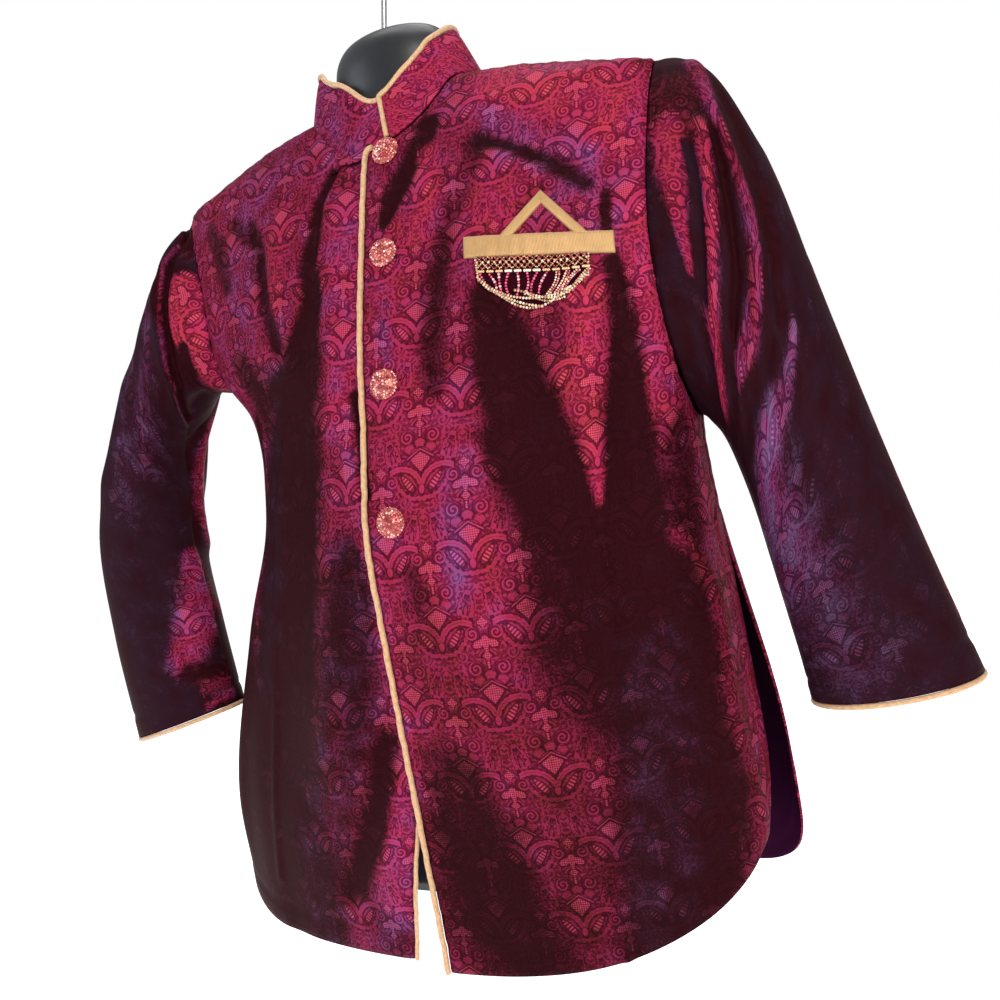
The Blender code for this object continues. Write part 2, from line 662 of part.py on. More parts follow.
def main():
    for old in list(bpy.data.objects):
        bpy.data.objects.remove(old, do_unlink=True)
    parts = bpy.data.collections.new("sherwani_coat")
    bpy.context.scene.collection.children.link(parts)

    brocade = material("brocade", (0.36, 0.02, 0.09), 0.35)
    gold = material("gold_piping", (0.78, 0.45, 0.17), 0.45)
    stones = material("stones", (0.62, 0.20, 0.17), 0.2, 0.6)
    black = material("black_plastic", (0.012, 0.013, 0.015), 0.3)
    steel = material("steel_wire", (0.55, 0.55, 0.56), 0.25, 1.0)

    sheet("left_front", 18, PANEL_ROWS, left_front_point, CLOTH, brocade, parts)
    sheet("right_front", 12, PANEL_ROWS, right_front_point, CLOTH, brocade, parts)
    sheet("back", 22, PANEL_ROWS, back_point, CLOTH, brocade, parts)
    for side, name in ((1, "left_sleeve"), (-1, "right_sleeve")):
        sheet(name, 20, 12, lambda u, v, s=side: sleeve_point(s, u, v), CLOTH, brocade, parts, closed=True)
        tube(name + "_piping", cuff_ring(side, 20), CUFF_PIPING, gold, parts, closed=True)
    sheet("collar", 36, 3, lambda u, v: collar_point(collar_turn(u), COLLAR_HEIGHT * v), COLLAR_WALL, brocade, parts)
    tube("collar_piping", collar_rim_path(), PIPING, gold, parts)

    lift = PIPING + SEAM
    rows = [k / PANEL_ROWS for k in range(EDGE_ROWS + 1)]
    edge = [left_front_point(0, v, -CLOTH / 2) - Vector((lift, 0, 0)) for v in rows]
    tube("left_front_piping", edge, PIPING, gold, parts)
    under = [right_front_point(1, v, -CLOTH / 2) + Vector((lift, 0, 0)) for v in rows]
    tube("right_front_piping", under, PIPING * 0.8, gold, parts)

    build_buttons(stones, parts)
    sheet("pocket_band", 10, 2, band_point, TRIM, gold, parts)
    sheet("pocket_peak", 12, 1, peak_point, TRIM, gold, parts)
    sheet("brooch", 12, 3, brooch_point, BROOCH_WALL, stones, parts)

    build_form(black, parts)
    tube("hook", hook_path(), WIRE, steel, parts, sides=2)


main()
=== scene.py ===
"""The looks of a child's sherwani coat, hung on a limbless torso form. Metres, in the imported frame."""

import math
import random
from collections import namedtuple

import bmesh
import bpy
import numpy as np
from mathutils import Matrix, Vector


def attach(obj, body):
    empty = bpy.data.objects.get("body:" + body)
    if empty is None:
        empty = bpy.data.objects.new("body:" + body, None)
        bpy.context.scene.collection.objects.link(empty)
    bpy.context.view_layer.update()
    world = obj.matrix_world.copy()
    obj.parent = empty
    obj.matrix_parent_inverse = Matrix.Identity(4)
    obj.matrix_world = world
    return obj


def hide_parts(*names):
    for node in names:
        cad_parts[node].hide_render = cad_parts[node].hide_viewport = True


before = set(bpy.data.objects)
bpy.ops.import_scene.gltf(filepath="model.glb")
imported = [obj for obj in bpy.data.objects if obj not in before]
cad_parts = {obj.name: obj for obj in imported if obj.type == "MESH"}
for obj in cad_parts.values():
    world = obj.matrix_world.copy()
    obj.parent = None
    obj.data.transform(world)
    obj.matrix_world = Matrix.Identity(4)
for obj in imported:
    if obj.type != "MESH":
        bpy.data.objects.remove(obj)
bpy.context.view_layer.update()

# ---- the coat's measures, as cut ----

HOOK_HEIGHT = 0.680         # the hook's inside top above the front hem
CLOTH, SEAM = 0.0014, 0.0003        # the cloth's thickness and the gap left at a seam
NECK_HALF, NECK_FRONT, NECK_BACK, NECK_SHIFT, NECK_ROOM = 0.060, 0.0445, 0.0450, -0.005, 0.0007
SHOULDER_TIP = 0.5037
UNDERARM = {1: 0.301, -1: 0.373}     # 1 is the wearer's left
ARM_HOLLOW, SHOULDER_TILT = 0.008, 0.031
UNDER_DEPTH, UNDER_SHORT, UNDER_REACH = 0.0042, 0.006, (0.042, 0.017)     # how the under front lies
VENT_TOP, VENT_FLARE = 0.250, {1: 0.013, -1: 0.018}
COLLAR_HEIGHT, COLLAR_DIP, COLLAR_DROOP, COLLAR_LEAN, COLLAR_SWAY = 0.032, 0.006, 0.0065, 0.175, -0.003
COLLAR_WALL, COLLAR_SEAM, COLLAR_TUCK = 0.0020, 0.0005, 0.0030
COLLAR_ENDS = math.radians(11), math.tau + math.radians(23)
Swell = namedtuple("Swell", "rise turn reach")
COLLAR_SWELLS = [       # the rim stands higher at the right end and sinks at the left of the throat
    Swell(0.0095, math.radians(337), math.radians(21)),
    Swell(-0.0070, math.radians(56), math.radians(21)),
]
PIPING, UNDER_PIPING, CUFF_PIPING = 0.0017, 0.0017 * 0.8, 0.0015
BUTTON, BUTTON_RISE, BUTTON_STAND = 0.0092, 0.0062, 0.0007
TRIM = 0.0012
FORM_FOOT, FORM_FRONT_GAP, FORM_ARM = 0.040, 0.005, 0.140
WIRE, HOOK_FOOT, CROOK = 0.0018, -0.0085, 0.021
LEAN = (0.20, 0.45), (0.60, 0.54)       # the shoulders' lean grows between two heights and fades above them
VENT_FADE, VENT_POWER = 0.15, 6         # the flare grows over this height and keeps this sharply to the side
COLLAR_DIP_POWER, COLLAR_TUCKED = 14, (math.tau - 1.1, math.tau - 0.1)
FORM_RIDGE, FORM_RIDGE_GAP, FORM_THROAT = (0.496, 0.5035), 0.0007, (0.478, 0.500)
NUDGE_ROUND, NUDGE_UP = 0.002, 0.0005   # small steps that show which way the cloth faces

# The body's half widths and depths, from the hem to the neck
Ring = namedtuple("Ring", "height right left front back")
BODY = [
    Ring(0.000, 0.215, 0.173, 0.096, 0.098),
    Ring(0.100, 0.207, 0.171, 0.104, 0.092),
    Ring(0.200, 0.170, 0.166, 0.110, 0.084),
    Ring(0.260, 0.1450, 0.161, 0.110, 0.080),
    Ring(0.300, 0.1400, 0.160, 0.104, 0.077),
    Ring(0.325, 0.1395, 0.166, 0.099, 0.0755),
    Ring(0.350, 0.1455, 0.175, 0.094, 0.0740),
    Ring(0.375, 0.1640, 0.1805, 0.0875, 0.0718),
    Ring(0.410, 0.1790, 0.186, 0.076, 0.068),
    Ring(0.460, 0.1880, 0.181, 0.0580, 0.0620),
    Ring(0.485, 0.1880, 0.175, 0.0480, 0.0595),
    Ring(0.4935, 0.1850, 0.170, 0.0445, 0.0580),
    Ring(0.5037, 0.1780, 0.163, 0.0395, 0.0560),
    Ring(0.5085, 0.1630, 0.147, 0.0370, 0.0545),
    Ring(0.5140, 0.1470, 0.128, 0.0345, 0.0525),
    Ring(0.5185, 0.1330, 0.111, 0.0325, 0.0505),
    Ring(0.5230, 0.1170, 0.094, 0.0310, 0.0480),
    Ring(0.5265, 0.0970, 0.074, 0.0300, 0.0460),
    Ring(0.5290, 0.0650, 0.055, 0.0290, 0.0440),
]
TOP = BODY[-1].height

# The largest folds: a ridge or trough runs from (low_angle, low) to (high_angle, high), in degrees from
# the centre front and metres up
Fold = namedtuple("Fold", "low_angle low high_angle high width depth")
FOLDS = [
    Fold(14, 0.300, 6, 0.470, 0.016, -0.0035),
    Fold(34, 0.180, 30, 0.430, 0.030, -0.0045),
    Fold(20, 0.060, 14, 0.330, 0.034, 0.0050),
    Fold(54, 0.020, 48, 0.300, 0.030, -0.0040),
    Fold(68, 0.010, 62, 0.300, 0.026, 0.0050),
    Fold(-22, 0.080, -10, 0.330, 0.018, 0.0060),
    Fold(-40, 0.060, -36, 0.420, 0.026, -0.0040),
    Fold(-62, 0.010, -60, 0.300, 0.012, 0.0035),
    Fold(150, 0.020, 158, 0.360, 0.034, 0.0050),
    Fold(182, 0.010, 178, 0.420, 0.040, -0.0045),
    Fold(215, 0.020, 206, 0.360, 0.034, 0.0050),
]
FOLD_TAPER, FOLD_SPREAD = 3.5, 0.75

# Where the fronts' free edges run, across from the centre line
Edge = namedtuple("Edge", "height across")
LAP_EDGE = [Edge(0.000, -0.0125), Edge(0.150, -0.0105), Edge(0.300, -0.0090), Edge(0.540, -0.0090)]
UNDER_EDGE = [
    Edge(0.000, -0.037), Edge(0.060, -0.026), Edge(0.120, -0.010),
    Edge(0.200, 0.006), Edge(0.300, 0.016), Edge(0.540, 0.016),
]

# Cuts across each sleeve from cap to cuff: its outer and inner points and its depth
Cut = namedtuple("Cut", "row outer_x outer_h inner_x inner_h mid_y half_y")
SLEEVE = {
    1: [
        Cut(0, 0.163, 0.5037, 0.160, 0.301, 0.000, 0.050),
        Cut(1, 0.178, 0.4985, 0.163, 0.2995, -0.001, 0.050),
        Cut(2, 0.193, 0.4855, 0.167, 0.295, -0.002, 0.049),
        Cut(3, 0.206, 0.459, 0.172, 0.288, -0.003, 0.047),
        Cut(4, 0.2205, 0.416, 0.177, 0.275, -0.005, 0.044),
        Cut(5, 0.236, 0.352, 0.184, 0.2485, -0.008, 0.040),
        Cut(6, 0.2555, 0.276, 0.191, 0.212, -0.012, 0.036),
        Cut(7, 0.275, 0.205, 0.198, 0.172, -0.016, 0.033),
        Cut(8, 0.292, 0.148, 0.203, 0.137, -0.019, 0.031),
    ],
    -1: [
        Cut(0, 0.178, 0.5037, 0.164, 0.373, 0.000, 0.046),
        Cut(1, 0.186, 0.4990, 0.173, 0.371, -0.001, 0.045),
        Cut(2, 0.195, 0.4860, 0.187, 0.367, -0.002, 0.043),
        Cut(3, 0.208, 0.4570, 0.205, 0.357, -0.003, 0.042),
        Cut(4, 0.233, 0.4060, 0.220, 0.336, -0.004, 0.040),
        Cut(5, 0.268, 0.3475, 0.2235, 0.301, -0.006, 0.038),
        Cut(6, 0.302, 0.2840, 0.2235, 0.257, -0.010, 0.035),
        Cut(7, 0.303, 0.2050, 0.2130, 0.203, -0.015, 0.032),
        Cut(8, 0.2935, 0.125, 0.2025, 0.147, -0.019, 0.030),
    ],
}

Gap = namedtuple("Gap", "height clear")
FORM_GAPS = [       # room between the cloth and the form
    Gap(0.040, 0.012), Gap(0.200, 0.012), Gap(0.330, 0.009), Gap(0.430, 0.008),
    Gap(0.480, 0.0075), Gap(0.504, 0.0060), Gap(0.529, 0.0050),
]

# The form's neck, round its top
Neck = namedtuple("Neck", "row height half_x half_y")
FORM_NECK = [Neck(row, *ring) for row, ring in enumerate((
    (0.5290, 0.0440, 0.0295), (0.5350, 0.0430, 0.0285), (0.5450, 0.0425, 0.0282), (0.5555, 0.0415, 0.0276),
    (0.5630, 0.0388, 0.0258), (0.5690, 0.0336, 0.0222), (0.5725, 0.0262, 0.0173), (0.5740, 0.0178, 0.0118),
))]
FORM_NECK_BACK = 0.002      # the neck's middle stands this far back

# How the hem rounds up to the side seams
Corner = namedtuple("Corner", "wide tall power")
FRONT_CORNER = {1: Corner(0.182, 0.112, 0.60), -1: Corner(0.130, 0.100, 0.50)}
BACK_CORNER = {1: Corner(0.110, 0.098, 0.50), -1: Corner(0.130, 0.100, 0.50)}
SKIRT_SHARE = 14 / 26       # share of a panel's rows below the underarm
FRONT_NECK_SHARE = 7 / 12   # share of the rows above it that lie below a front's neck edge
BACK_NECK = 0.36            # share of the back's width that a shoulder takes
SIDE_ARC = 0.72             # length of a radian of the side's curve, as a share of the half width

Button = namedtuple("Button", "across height")
BUTTONS = [Button(0.0045, 0.487), Button(0.0045, 0.424), Button(0.0050, 0.347), Button(0.0050, 0.270)]
POCKET_NEAR, POCKET_FAR, POCKET_START, POCKET_FALL, POCKET_TALL = 0.0555, 0.1370, 0.4142, 0.0147, 0.0125
PEAK_HALF, PEAK_RISE, PEAK_STRIP, PEAK_SHIFT = 0.0245, 0.0255, 0.0058, 0.004
BROOCH_NEAR, BROOCH_FAR, BROOCH_DROP, BROOCH_END = 0.0625, 0.1235, 0.030, 0.004


# ---- the cloth's form, worked on whole arrays of points ----

def mix(a, b, share):
    return a + (b - a) * share


def ease(low, high, value):
    share = np.clip((value - low) / (high - low), 0, 1)
    return share * share * (3 - 2 * share)


def near(distance, reach):
    """1 on a line, fading to 0 away from it."""
    return np.exp(-(distance / reach) ** 2)


def grids(first, second):
    """Two values as float arrays of one shape."""
    return np.broadcast_arrays(np.asarray(first, float), np.asarray(second, float))


def pair(angle, height):
    return np.stack(np.broadcast_arrays(angle, height), -1)


def steps(count):
    """Shares from 0 to 1."""
    return np.linspace(0, 1, count + 1)


def curve_of(rows, column):
    """A smooth curve through a column of a table, against its first column."""
    keys = np.array([row[0] for row in rows], float)
    values = np.array([getattr(row, column) for row in rows], float)
    last = len(keys) - 1
    before = np.maximum(np.arange(last + 1) - 1, 0)
    after = np.minimum(np.arange(last + 1) + 1, last)
    slopes = (values[after] - values[before]) / (keys[after] - keys[before])

    def at(where):
        where = np.clip(where, keys[0], keys[-1])
        i = np.clip(np.searchsorted(keys, where, side="right") - 1, 0, last - 1)
        step = keys[i + 1] - keys[i]
        share = (where - keys[i]) / step
        h = share * share
        c = h * share
        return ((2 * c - 3 * h + 1) * values[i] + (c - 2 * h + share) * slopes[i] * step
                + (3 * h - 2 * c) * values[i + 1] + (c - h) * slopes[i + 1] * step)
    return at


right_width, left_width = curve_of(BODY, "right"), curve_of(BODY, "left")
front_depth, back_depth = curve_of(BODY, "front"), curve_of(BODY, "back")
lap_edge, under_edge = curve_of(LAP_EDGE, "across"), curve_of(UNDER_EDGE, "across")
form_gap = curve_of(FORM_GAPS, "clear")
sleeve_cut = {side: {name: curve_of(rows, name) for name in Cut._fields[1:]} for side, rows in SLEEVE.items()}


def place(x, y, height):
    """Points of the coat in the frame; above the waist the coat leans with the shoulders."""
    lean = SHOULDER_TILT * x * ease(*LEAN[0], height) * ease(*LEAN[1], height)
    return np.stack(np.broadcast_arrays(x, y, height + lean - HOOK_HEIGHT), -1)


def unit(vectors):
    return vectors / np.maximum(np.linalg.norm(vectors, axis=-1, keepdims=True), 1e-12)


def half_width(angle, height):
    return np.where(np.sin(angle) >= 0, left_width(height), right_width(height))


def plain_skin(angle, height):
    """Outer face of the body at an angle from the centre front, without folds."""
    angle, height = grids(angle, height)
    sine, cosine = np.sin(angle), np.cos(angle)
    depth = np.where(cosine > 0, -front_depth(height), back_depth(height))
    flare = np.where(sine > 0, VENT_FLARE[1], VENT_FLARE[-1]) * np.abs(sine) ** VENT_POWER
    stands = flare * ease(VENT_TOP, VENT_TOP - VENT_FADE, height)
    reach = half_width(angle, height) + np.where(cosine > 0, 0.0, stands)
    return place(reach * sine, depth * np.abs(cosine), height)


def outward(angle, height):
    """The way the cloth faces."""
    along = plain_skin(angle + NUDGE_ROUND, height) - plain_skin(angle - NUDGE_ROUND, height)
    up = plain_skin(angle, height + NUDGE_UP) - plain_skin(angle, height - NUDGE_UP)
    return unit(np.cross(along, up))


def fold(angle, height):
    """Lift of the largest folds, in metres."""
    total = 0.0
    reach = half_width(angle, height)
    for row in FOLDS:
        share = (height - row.low) / (row.high - row.low)
        middle = np.radians(mix(row.low_angle, row.high_angle, share))
        turn = (angle - middle + math.pi) % math.tau - math.pi
        across = turn * reach * FOLD_SPREAD / row.width
        ends = np.clip(np.minimum(FOLD_TAPER * share, FOLD_TAPER * (1 - share)), 0, 1)
        total = total + row.depth * ends * ends * (3 - 2 * ends) * np.exp(-across * across)
    return total


def skin(angle, height, out=0.0):
    """Outer face of the folded cloth, or points this far out from it."""
    lift = np.asarray(out + fold(angle, height))
    return plain_skin(angle, height) + outward(angle, height) * lift[..., None]


def angle_at(across, height):
    """Front angle of the points this far across at this height."""
    reach = half_width(np.arcsin(np.clip(across * 4, -1, 1)), height)
    return np.arcsin(np.clip(across / reach, -1, 1))


def arm_angle(side, height):
    """Angle from the front at which the armhole's edge lies."""
    low = UNDERARM[side]
    along = np.clip((height - low) / (SHOULDER_TIP - low), 0, 1)
    straight = mix(half_width(side, low), half_width(side, SHOULDER_TIP), along)
    across = straight - ARM_HOLLOW * np.sin(math.pi * along)
    return np.arcsin(np.minimum(1.0, across / half_width(side, height)))


def seam_turn(height, depth):
    """Angle that a side seam's small gap takes up."""
    return SEAM * (1.5 + ease(SHOULDER_TIP - 0.01, SHOULDER_TIP, height)) / 2 / depth(height)


def neck_seam(turn, room=0.0):
    """Angles and heights on the body where the oval of the neck seam meets it."""
    turn = np.asarray(turn, float)
    x = NECK_SHIFT + (NECK_HALF + room) * np.sin(turn)
    y = (np.where(np.cos(turn) > 0, NECK_FRONT, NECK_BACK) + room) * np.cos(turn)

    def shares(height):
        wide = np.where(x > 0, left_width(height), right_width(height))
        deep = np.where(y > 0, front_depth(height), back_depth(height))
        return x / wide, y / deep

    low, high = np.full(turn.shape, SHOULDER_TIP - 0.02), np.full(turn.shape, TOP)
    for _ in range(30):
        height = (low + high) / 2
        outside = np.hypot(*shares(height)) > 1
        low, high = np.where(outside, low, height), np.where(outside, height, high)
    return np.arctan2(*shares(low)) % math.tau, low


def hem_height(corner, side_distance):
    """Height of the hem, which rounds up to the side seam."""
    inset = 1 - np.clip(side_distance, 0, corner.wide) / corner.wide
    return corner.tall * (1 - (1 - inset ** 2) ** corner.power)


def armhole_height(side, share):
    return mix(UNDERARM[side], SHOULDER_TIP, (1 - np.cos(math.pi * share)) / 2)


def skirt_and_chest(v):
    """Rows below the underarm and rows above it, each as shares of their own height."""
    skirt = v < SKIRT_SHARE - 1e-9
    return v[skirt] / SKIRT_SHARE, (v[~skirt] - SKIRT_SHARE) / (1 - SKIRT_SHARE)


def coons(bottom, top, left, right, u, t):
    """Fills between four edges, given as arrays of (angle, height)."""
    u, t = u[None, :, None], t[:, None, None]
    corners = mix(mix(bottom[:1], bottom[-1:], u), mix(top[:1], top[-1:], u), t)
    return mix(bottom[None], top[None], t) + mix(left[:, None], right[:, None], u) - corners


def front_paths(side, edge_across, u, v):
    """Angles and heights on a front: u runs from its free edge to the side, v from hem to shoulder."""
    def edge(height):
        return side * angle_at(edge_across(height), height)

    def side_turn(height):
        return math.pi / 2 - seam_turn(height, front_depth)

    low, high = skirt_and_chest(v)
    plain = UNDERARM[side] * low[:, None] * np.ones_like(u)
    angle = mix(edge(plain), side_turn(plain), u[None, :])
    hem = hem_height(FRONT_CORNER[side], (side_turn(0.0) - angle) * half_width(side, 0.0) * SIDE_ARC)
    if side < 0:
        hem = hem + UNDER_SHORT * ease(math.pi / 2, math.pi / 3, angle)
    skirt = pair(angle, mix(hem, UNDERARM[side], low[:, None]))

    under = np.full(u.shape, UNDERARM[side])
    bottom = pair(mix(edge(under), side_turn(under), u), under)
    ridge = mix(TOP, SHOULDER_TIP, u)
    top = pair(side_turn(ridge), ridge)
    start = side * math.asin((float(edge_across(SHOULDER_TIP)) - NECK_SHIFT) / (NECK_HALF + NECK_ROOM))
    rise = mix(UNDERARM[side], neck_seam(side * start, NECK_ROOM)[1], np.minimum(high / FRONT_NECK_SHARE, 1))
    turn = mix(start, math.pi / 2, np.clip((high - FRONT_NECK_SHARE) / (1 - FRONT_NECK_SHARE), 0, 1))
    neck_angle, neck_height = neck_seam(side * turn, NECK_ROOM)
    neck_angle = side * ((neck_angle + math.pi) % math.tau - math.pi)
    free = np.where((high < FRONT_NECK_SHARE)[:, None], pair(edge(rise), rise),
                    pair(np.minimum(neck_angle, side_turn(neck_height)), neck_height))
    arm = armhole_height(side, high)
    armhole = pair(np.minimum(arm_angle(side, arm), side_turn(arm)), arm)
    return np.concatenate([skirt, coons(bottom, top, free, armhole, u, high)])


def back_paths(u, v):
    """Angles and heights on the back: u runs from the left seam to the right one, v from hem to neck."""
    def side_turn(height):
        return math.pi / 2 + seam_turn(height, back_depth)

    def around(s, height):
        return mix(side_turn(height), math.tau - side_turn(height), s)

    low, high = skirt_and_chest(v)
    underarm = mix(UNDERARM[1], UNDERARM[-1], u)
    nearest = np.minimum(u, 1 - u) * math.pi * SIDE_ARC
    hem = np.where(u < 0.5, hem_height(BACK_CORNER[1], nearest * float(left_width(0))),
                   hem_height(BACK_CORNER[-1], nearest * float(right_width(0))))
    skirt = pair(around(u[None, :], underarm * low[:, None]), mix(hem, underarm, low[:, None]))

    bottom = pair(around(u, underarm), underarm)
    ridge = np.where(u < 0.5, mix(SHOULDER_TIP, TOP, np.minimum(u / BACK_NECK, 1)),
                     mix(TOP, SHOULDER_TIP, np.clip((u - 1 + BACK_NECK) / BACK_NECK, 0, 1)))
    turn = mix(math.pi / 2, 3 * math.pi / 2, np.clip((u - BACK_NECK) / (1 - 2 * BACK_NECK), 0, 1))
    neck_angle, neck_height = neck_seam(turn, NECK_ROOM)
    neck_angle = np.clip(neck_angle, side_turn(neck_height), math.tau - side_turn(neck_height))
    top = np.where((u < BACK_NECK)[:, None], pair(side_turn(ridge), ridge),
                   np.where((u > 1 - BACK_NECK)[:, None], pair(math.tau - side_turn(ridge), ridge),
                            pair(neck_angle, neck_height)))
    sides = []
    for side in (1, -1):
        arm = armhole_height(side, high)
        turned_in = np.maximum(math.pi - arm_angle(side, arm), side_turn(arm))
        sides.append(pair(turned_in if side > 0 else math.tau - turned_in, arm))
    return np.concatenate([skirt, coons(bottom, top, sides[0], sides[1], u, high)])


def armhole_point(side, turn):
    """Points round an armhole; turn 0 is its top, pi its bottom."""
    height = mix(UNDERARM[side], SHOULDER_TIP, (1 + np.cos(turn)) / 2)
    angle = arm_angle(side, height)
    angle = np.where(np.sin(turn) < 0, math.pi - angle, angle)
    return skin(side * angle, height) + np.array((side * SEAM, 0, 0))


def sleeve_ellipse(side, row, turn):
    """Points round a sleeve at a row of its cuts."""
    cut = sleeve_cut[side]
    outer = place(cut["outer_x"](row), 0, cut["outer_h"](row))
    inner = place(cut["inner_x"](row), 0, cut["inner_h"](row))
    point = mix(inner, outer, ((1 + np.cos(turn)) / 2)[..., None])
    point[..., 1] = cut["mid_y"](row) - cut["half_y"](row) * np.sin(turn)
    point[..., 0] *= side
    return point


def sleeve_points(side, turn, row):
    """Points of a sleeve, which starts as its armhole and ends as its last cut."""
    row, turn = grids(row, turn)
    fade = (1 - ease(0.0, 3.0, row))[..., None]
    hole = armhole_point(side, turn) - sleeve_ellipse(side, np.zeros_like(turn), turn)
    return sleeve_ellipse(side, row, turn) + hole * fade


def collar_points(turn, rise, out=0.0):
    """turn runs from the left end round the back to the right end, rise from seam to rim in metres."""
    turn, rise = grids(turn, rise)
    dip = COLLAR_DIP * np.maximum(0, np.cos(turn)) ** COLLAR_DIP_POWER
    full = COLLAR_HEIGHT - dip - COLLAR_DROOP * np.maximum(0, -np.sin(turn))
    for swell in COLLAR_SWELLS:
        full = full + swell.rise * near(turn - swell.turn, swell.reach)
    base = plain_skin(*neck_seam(turn))
    tuck = COLLAR_TUCK * ease(*COLLAR_TUCKED, turn)
    along = rise / COLLAR_HEIGHT
    off = base[..., 0] - NECK_SHIFT
    share = 1 - COLLAR_LEAN * along + (out - tuck) / np.hypot(off, base[..., 1])
    return np.stack([NECK_SHIFT + COLLAR_SWAY * along + off * share, base[..., 1] * share,
                     base[..., 2] + COLLAR_SEAM + along * full], -1)


def form_points(angle, height):
    """Points of the torso form, under the cloth."""
    angle, height = grids(angle, height)
    clear = form_gap(height) + FORM_FRONT_GAP * np.maximum(0, np.cos(angle)) ** 2
    on_ridge = np.abs(np.sin(angle)) ** 24 * ease(*FORM_RIDGE, height)
    inside = CLOTH + mix(clear, FORM_RIDGE_GAP, on_ridge)
    point = plain_skin(angle, height) - outward(angle, height) * inside[..., None]
    point[..., 0] /= (1 + np.abs(point[..., 0] / FORM_ARM) ** 10) ** 0.1
    throat = FORM_NECK[0].half_y * np.maximum(0, np.cos(angle))
    y = point[..., 1]
    throat_y = mix(y, np.maximum(y, -throat), ease(*FORM_THROAT, height))
    point[..., 1] = np.where(y < 0, throat_y, y)
    return point


def length_along(points, axis):
    """Length run along a grid's rows or columns, from 0."""
    steps = np.linalg.norm(np.diff(points, axis=axis), axis=-1)
    return np.concatenate([np.zeros_like(np.take(steps, [0], axis)), np.cumsum(steps, axis)], axis)


FLAT_ROWS, FLAT_COLUMNS = 160, 361
FLAT_HEIGHTS = np.linspace(0, TOP, FLAT_ROWS)
FLAT_TURNS = np.linspace(-math.pi, math.pi, FLAT_COLUMNS)


def flat_lengths(middle):
    """Cloth across from the middle front (0) or middle back (pi), for every height and turn."""
    points = plain_skin(FLAT_TURNS[None, :] + middle, FLAT_HEIGHTS[:, None])
    run = length_along(points, 1)
    return run - run[:, [FLAT_COLUMNS // 2]]


ACROSS_FRONT, ACROSS_BACK = flat_lengths(0.0), flat_lengths(math.pi)
CLIMB = length_along(plain_skin(0 * FLAT_HEIGHTS, FLAT_HEIGHTS), 0)


def flat_body(angle, height, middle=0.0):
    """Where points of the body lie on the flat cloth, in metres across and up."""
    turn = (angle - middle + math.pi) % math.tau - math.pi
    table = ACROSS_FRONT if middle == 0.0 else ACROSS_BACK
    column = np.clip((turn + math.pi) / math.tau * (FLAT_COLUMNS - 1), 0, FLAT_COLUMNS - 1.001)
    row = np.clip(height / TOP * (FLAT_ROWS - 1), 0, FLAT_ROWS - 1.001)
    i, j = column.astype(int), row.astype(int)
    a, b = column - i, row - j
    across = mix(mix(table[j, i], table[j, i + 1], a), mix(table[j + 1, i], table[j + 1, i + 1], a), b)
    return pair(across, np.interp(height, FLAT_HEIGHTS, CLIMB))


def flat_grid(points):
    """Where a grid's points lie on flat cloth, from its middle column and its first row."""
    across = length_along(points, 1)
    across = across - across[:, [points.shape[1] // 2]]
    up = length_along(points, 0).mean(1)
    return pair(across, up[:, None])


# ---- where the camera stands ----

FRAME = 1000                # steps across the square frame
SENSOR = 36.0               # mm
CAMERA_TURN, CAMERA_RISE, CAMERA_ROLL = math.radians(24.0), math.radians(3.4), math.radians(-8.8)
CAMERA_AWAY, CAMERA_FOCAL, AIM_RIGHT, AIM_HEIGHT = 0.640, 34.92, 0.0204, 0.2674
level = Vector((math.cos(CAMERA_TURN), math.sin(CAMERA_TURN), 0))
facing = Vector((level.y, -level.x, 0))
away = facing * math.cos(CAMERA_RISE) + Vector((0, 0, math.sin(CAMERA_RISE)))
rise = away.cross(level)
right = level * math.cos(CAMERA_ROLL) + rise * math.sin(CAMERA_ROLL)
above = rise * math.cos(CAMERA_ROLL) - level * math.sin(CAMERA_ROLL)
eye = level * AIM_RIGHT + Vector((0, 0, AIM_HEIGHT - HOOK_HEIGHT)) + away * CAMERA_AWAY


def finder(points, flat):
    """Finds the spot of the flat cloth that the camera sees at a place in the frame."""
    normal = np.cross(np.gradient(points, axis=1), np.gradient(points, axis=0))
    ray = points - np.array(eye)
    seen = (ray * normal).sum(-1) < 0
    ray = ray[seen]
    steps_a_metre = FRAME * CAMERA_FOCAL / SENSOR / -(ray @ np.array(away))
    sideways, upwards = ray @ np.array(right), ray @ np.array(above)
    places = FRAME / 2 + np.stack([sideways, -upwards], -1) * steps_a_metre[:, None]
    spots = flat[seen]

    def spot_at(x, y):
        return spots[np.argmin(((places - (x, y)) ** 2).sum(-1))]
    return spot_at
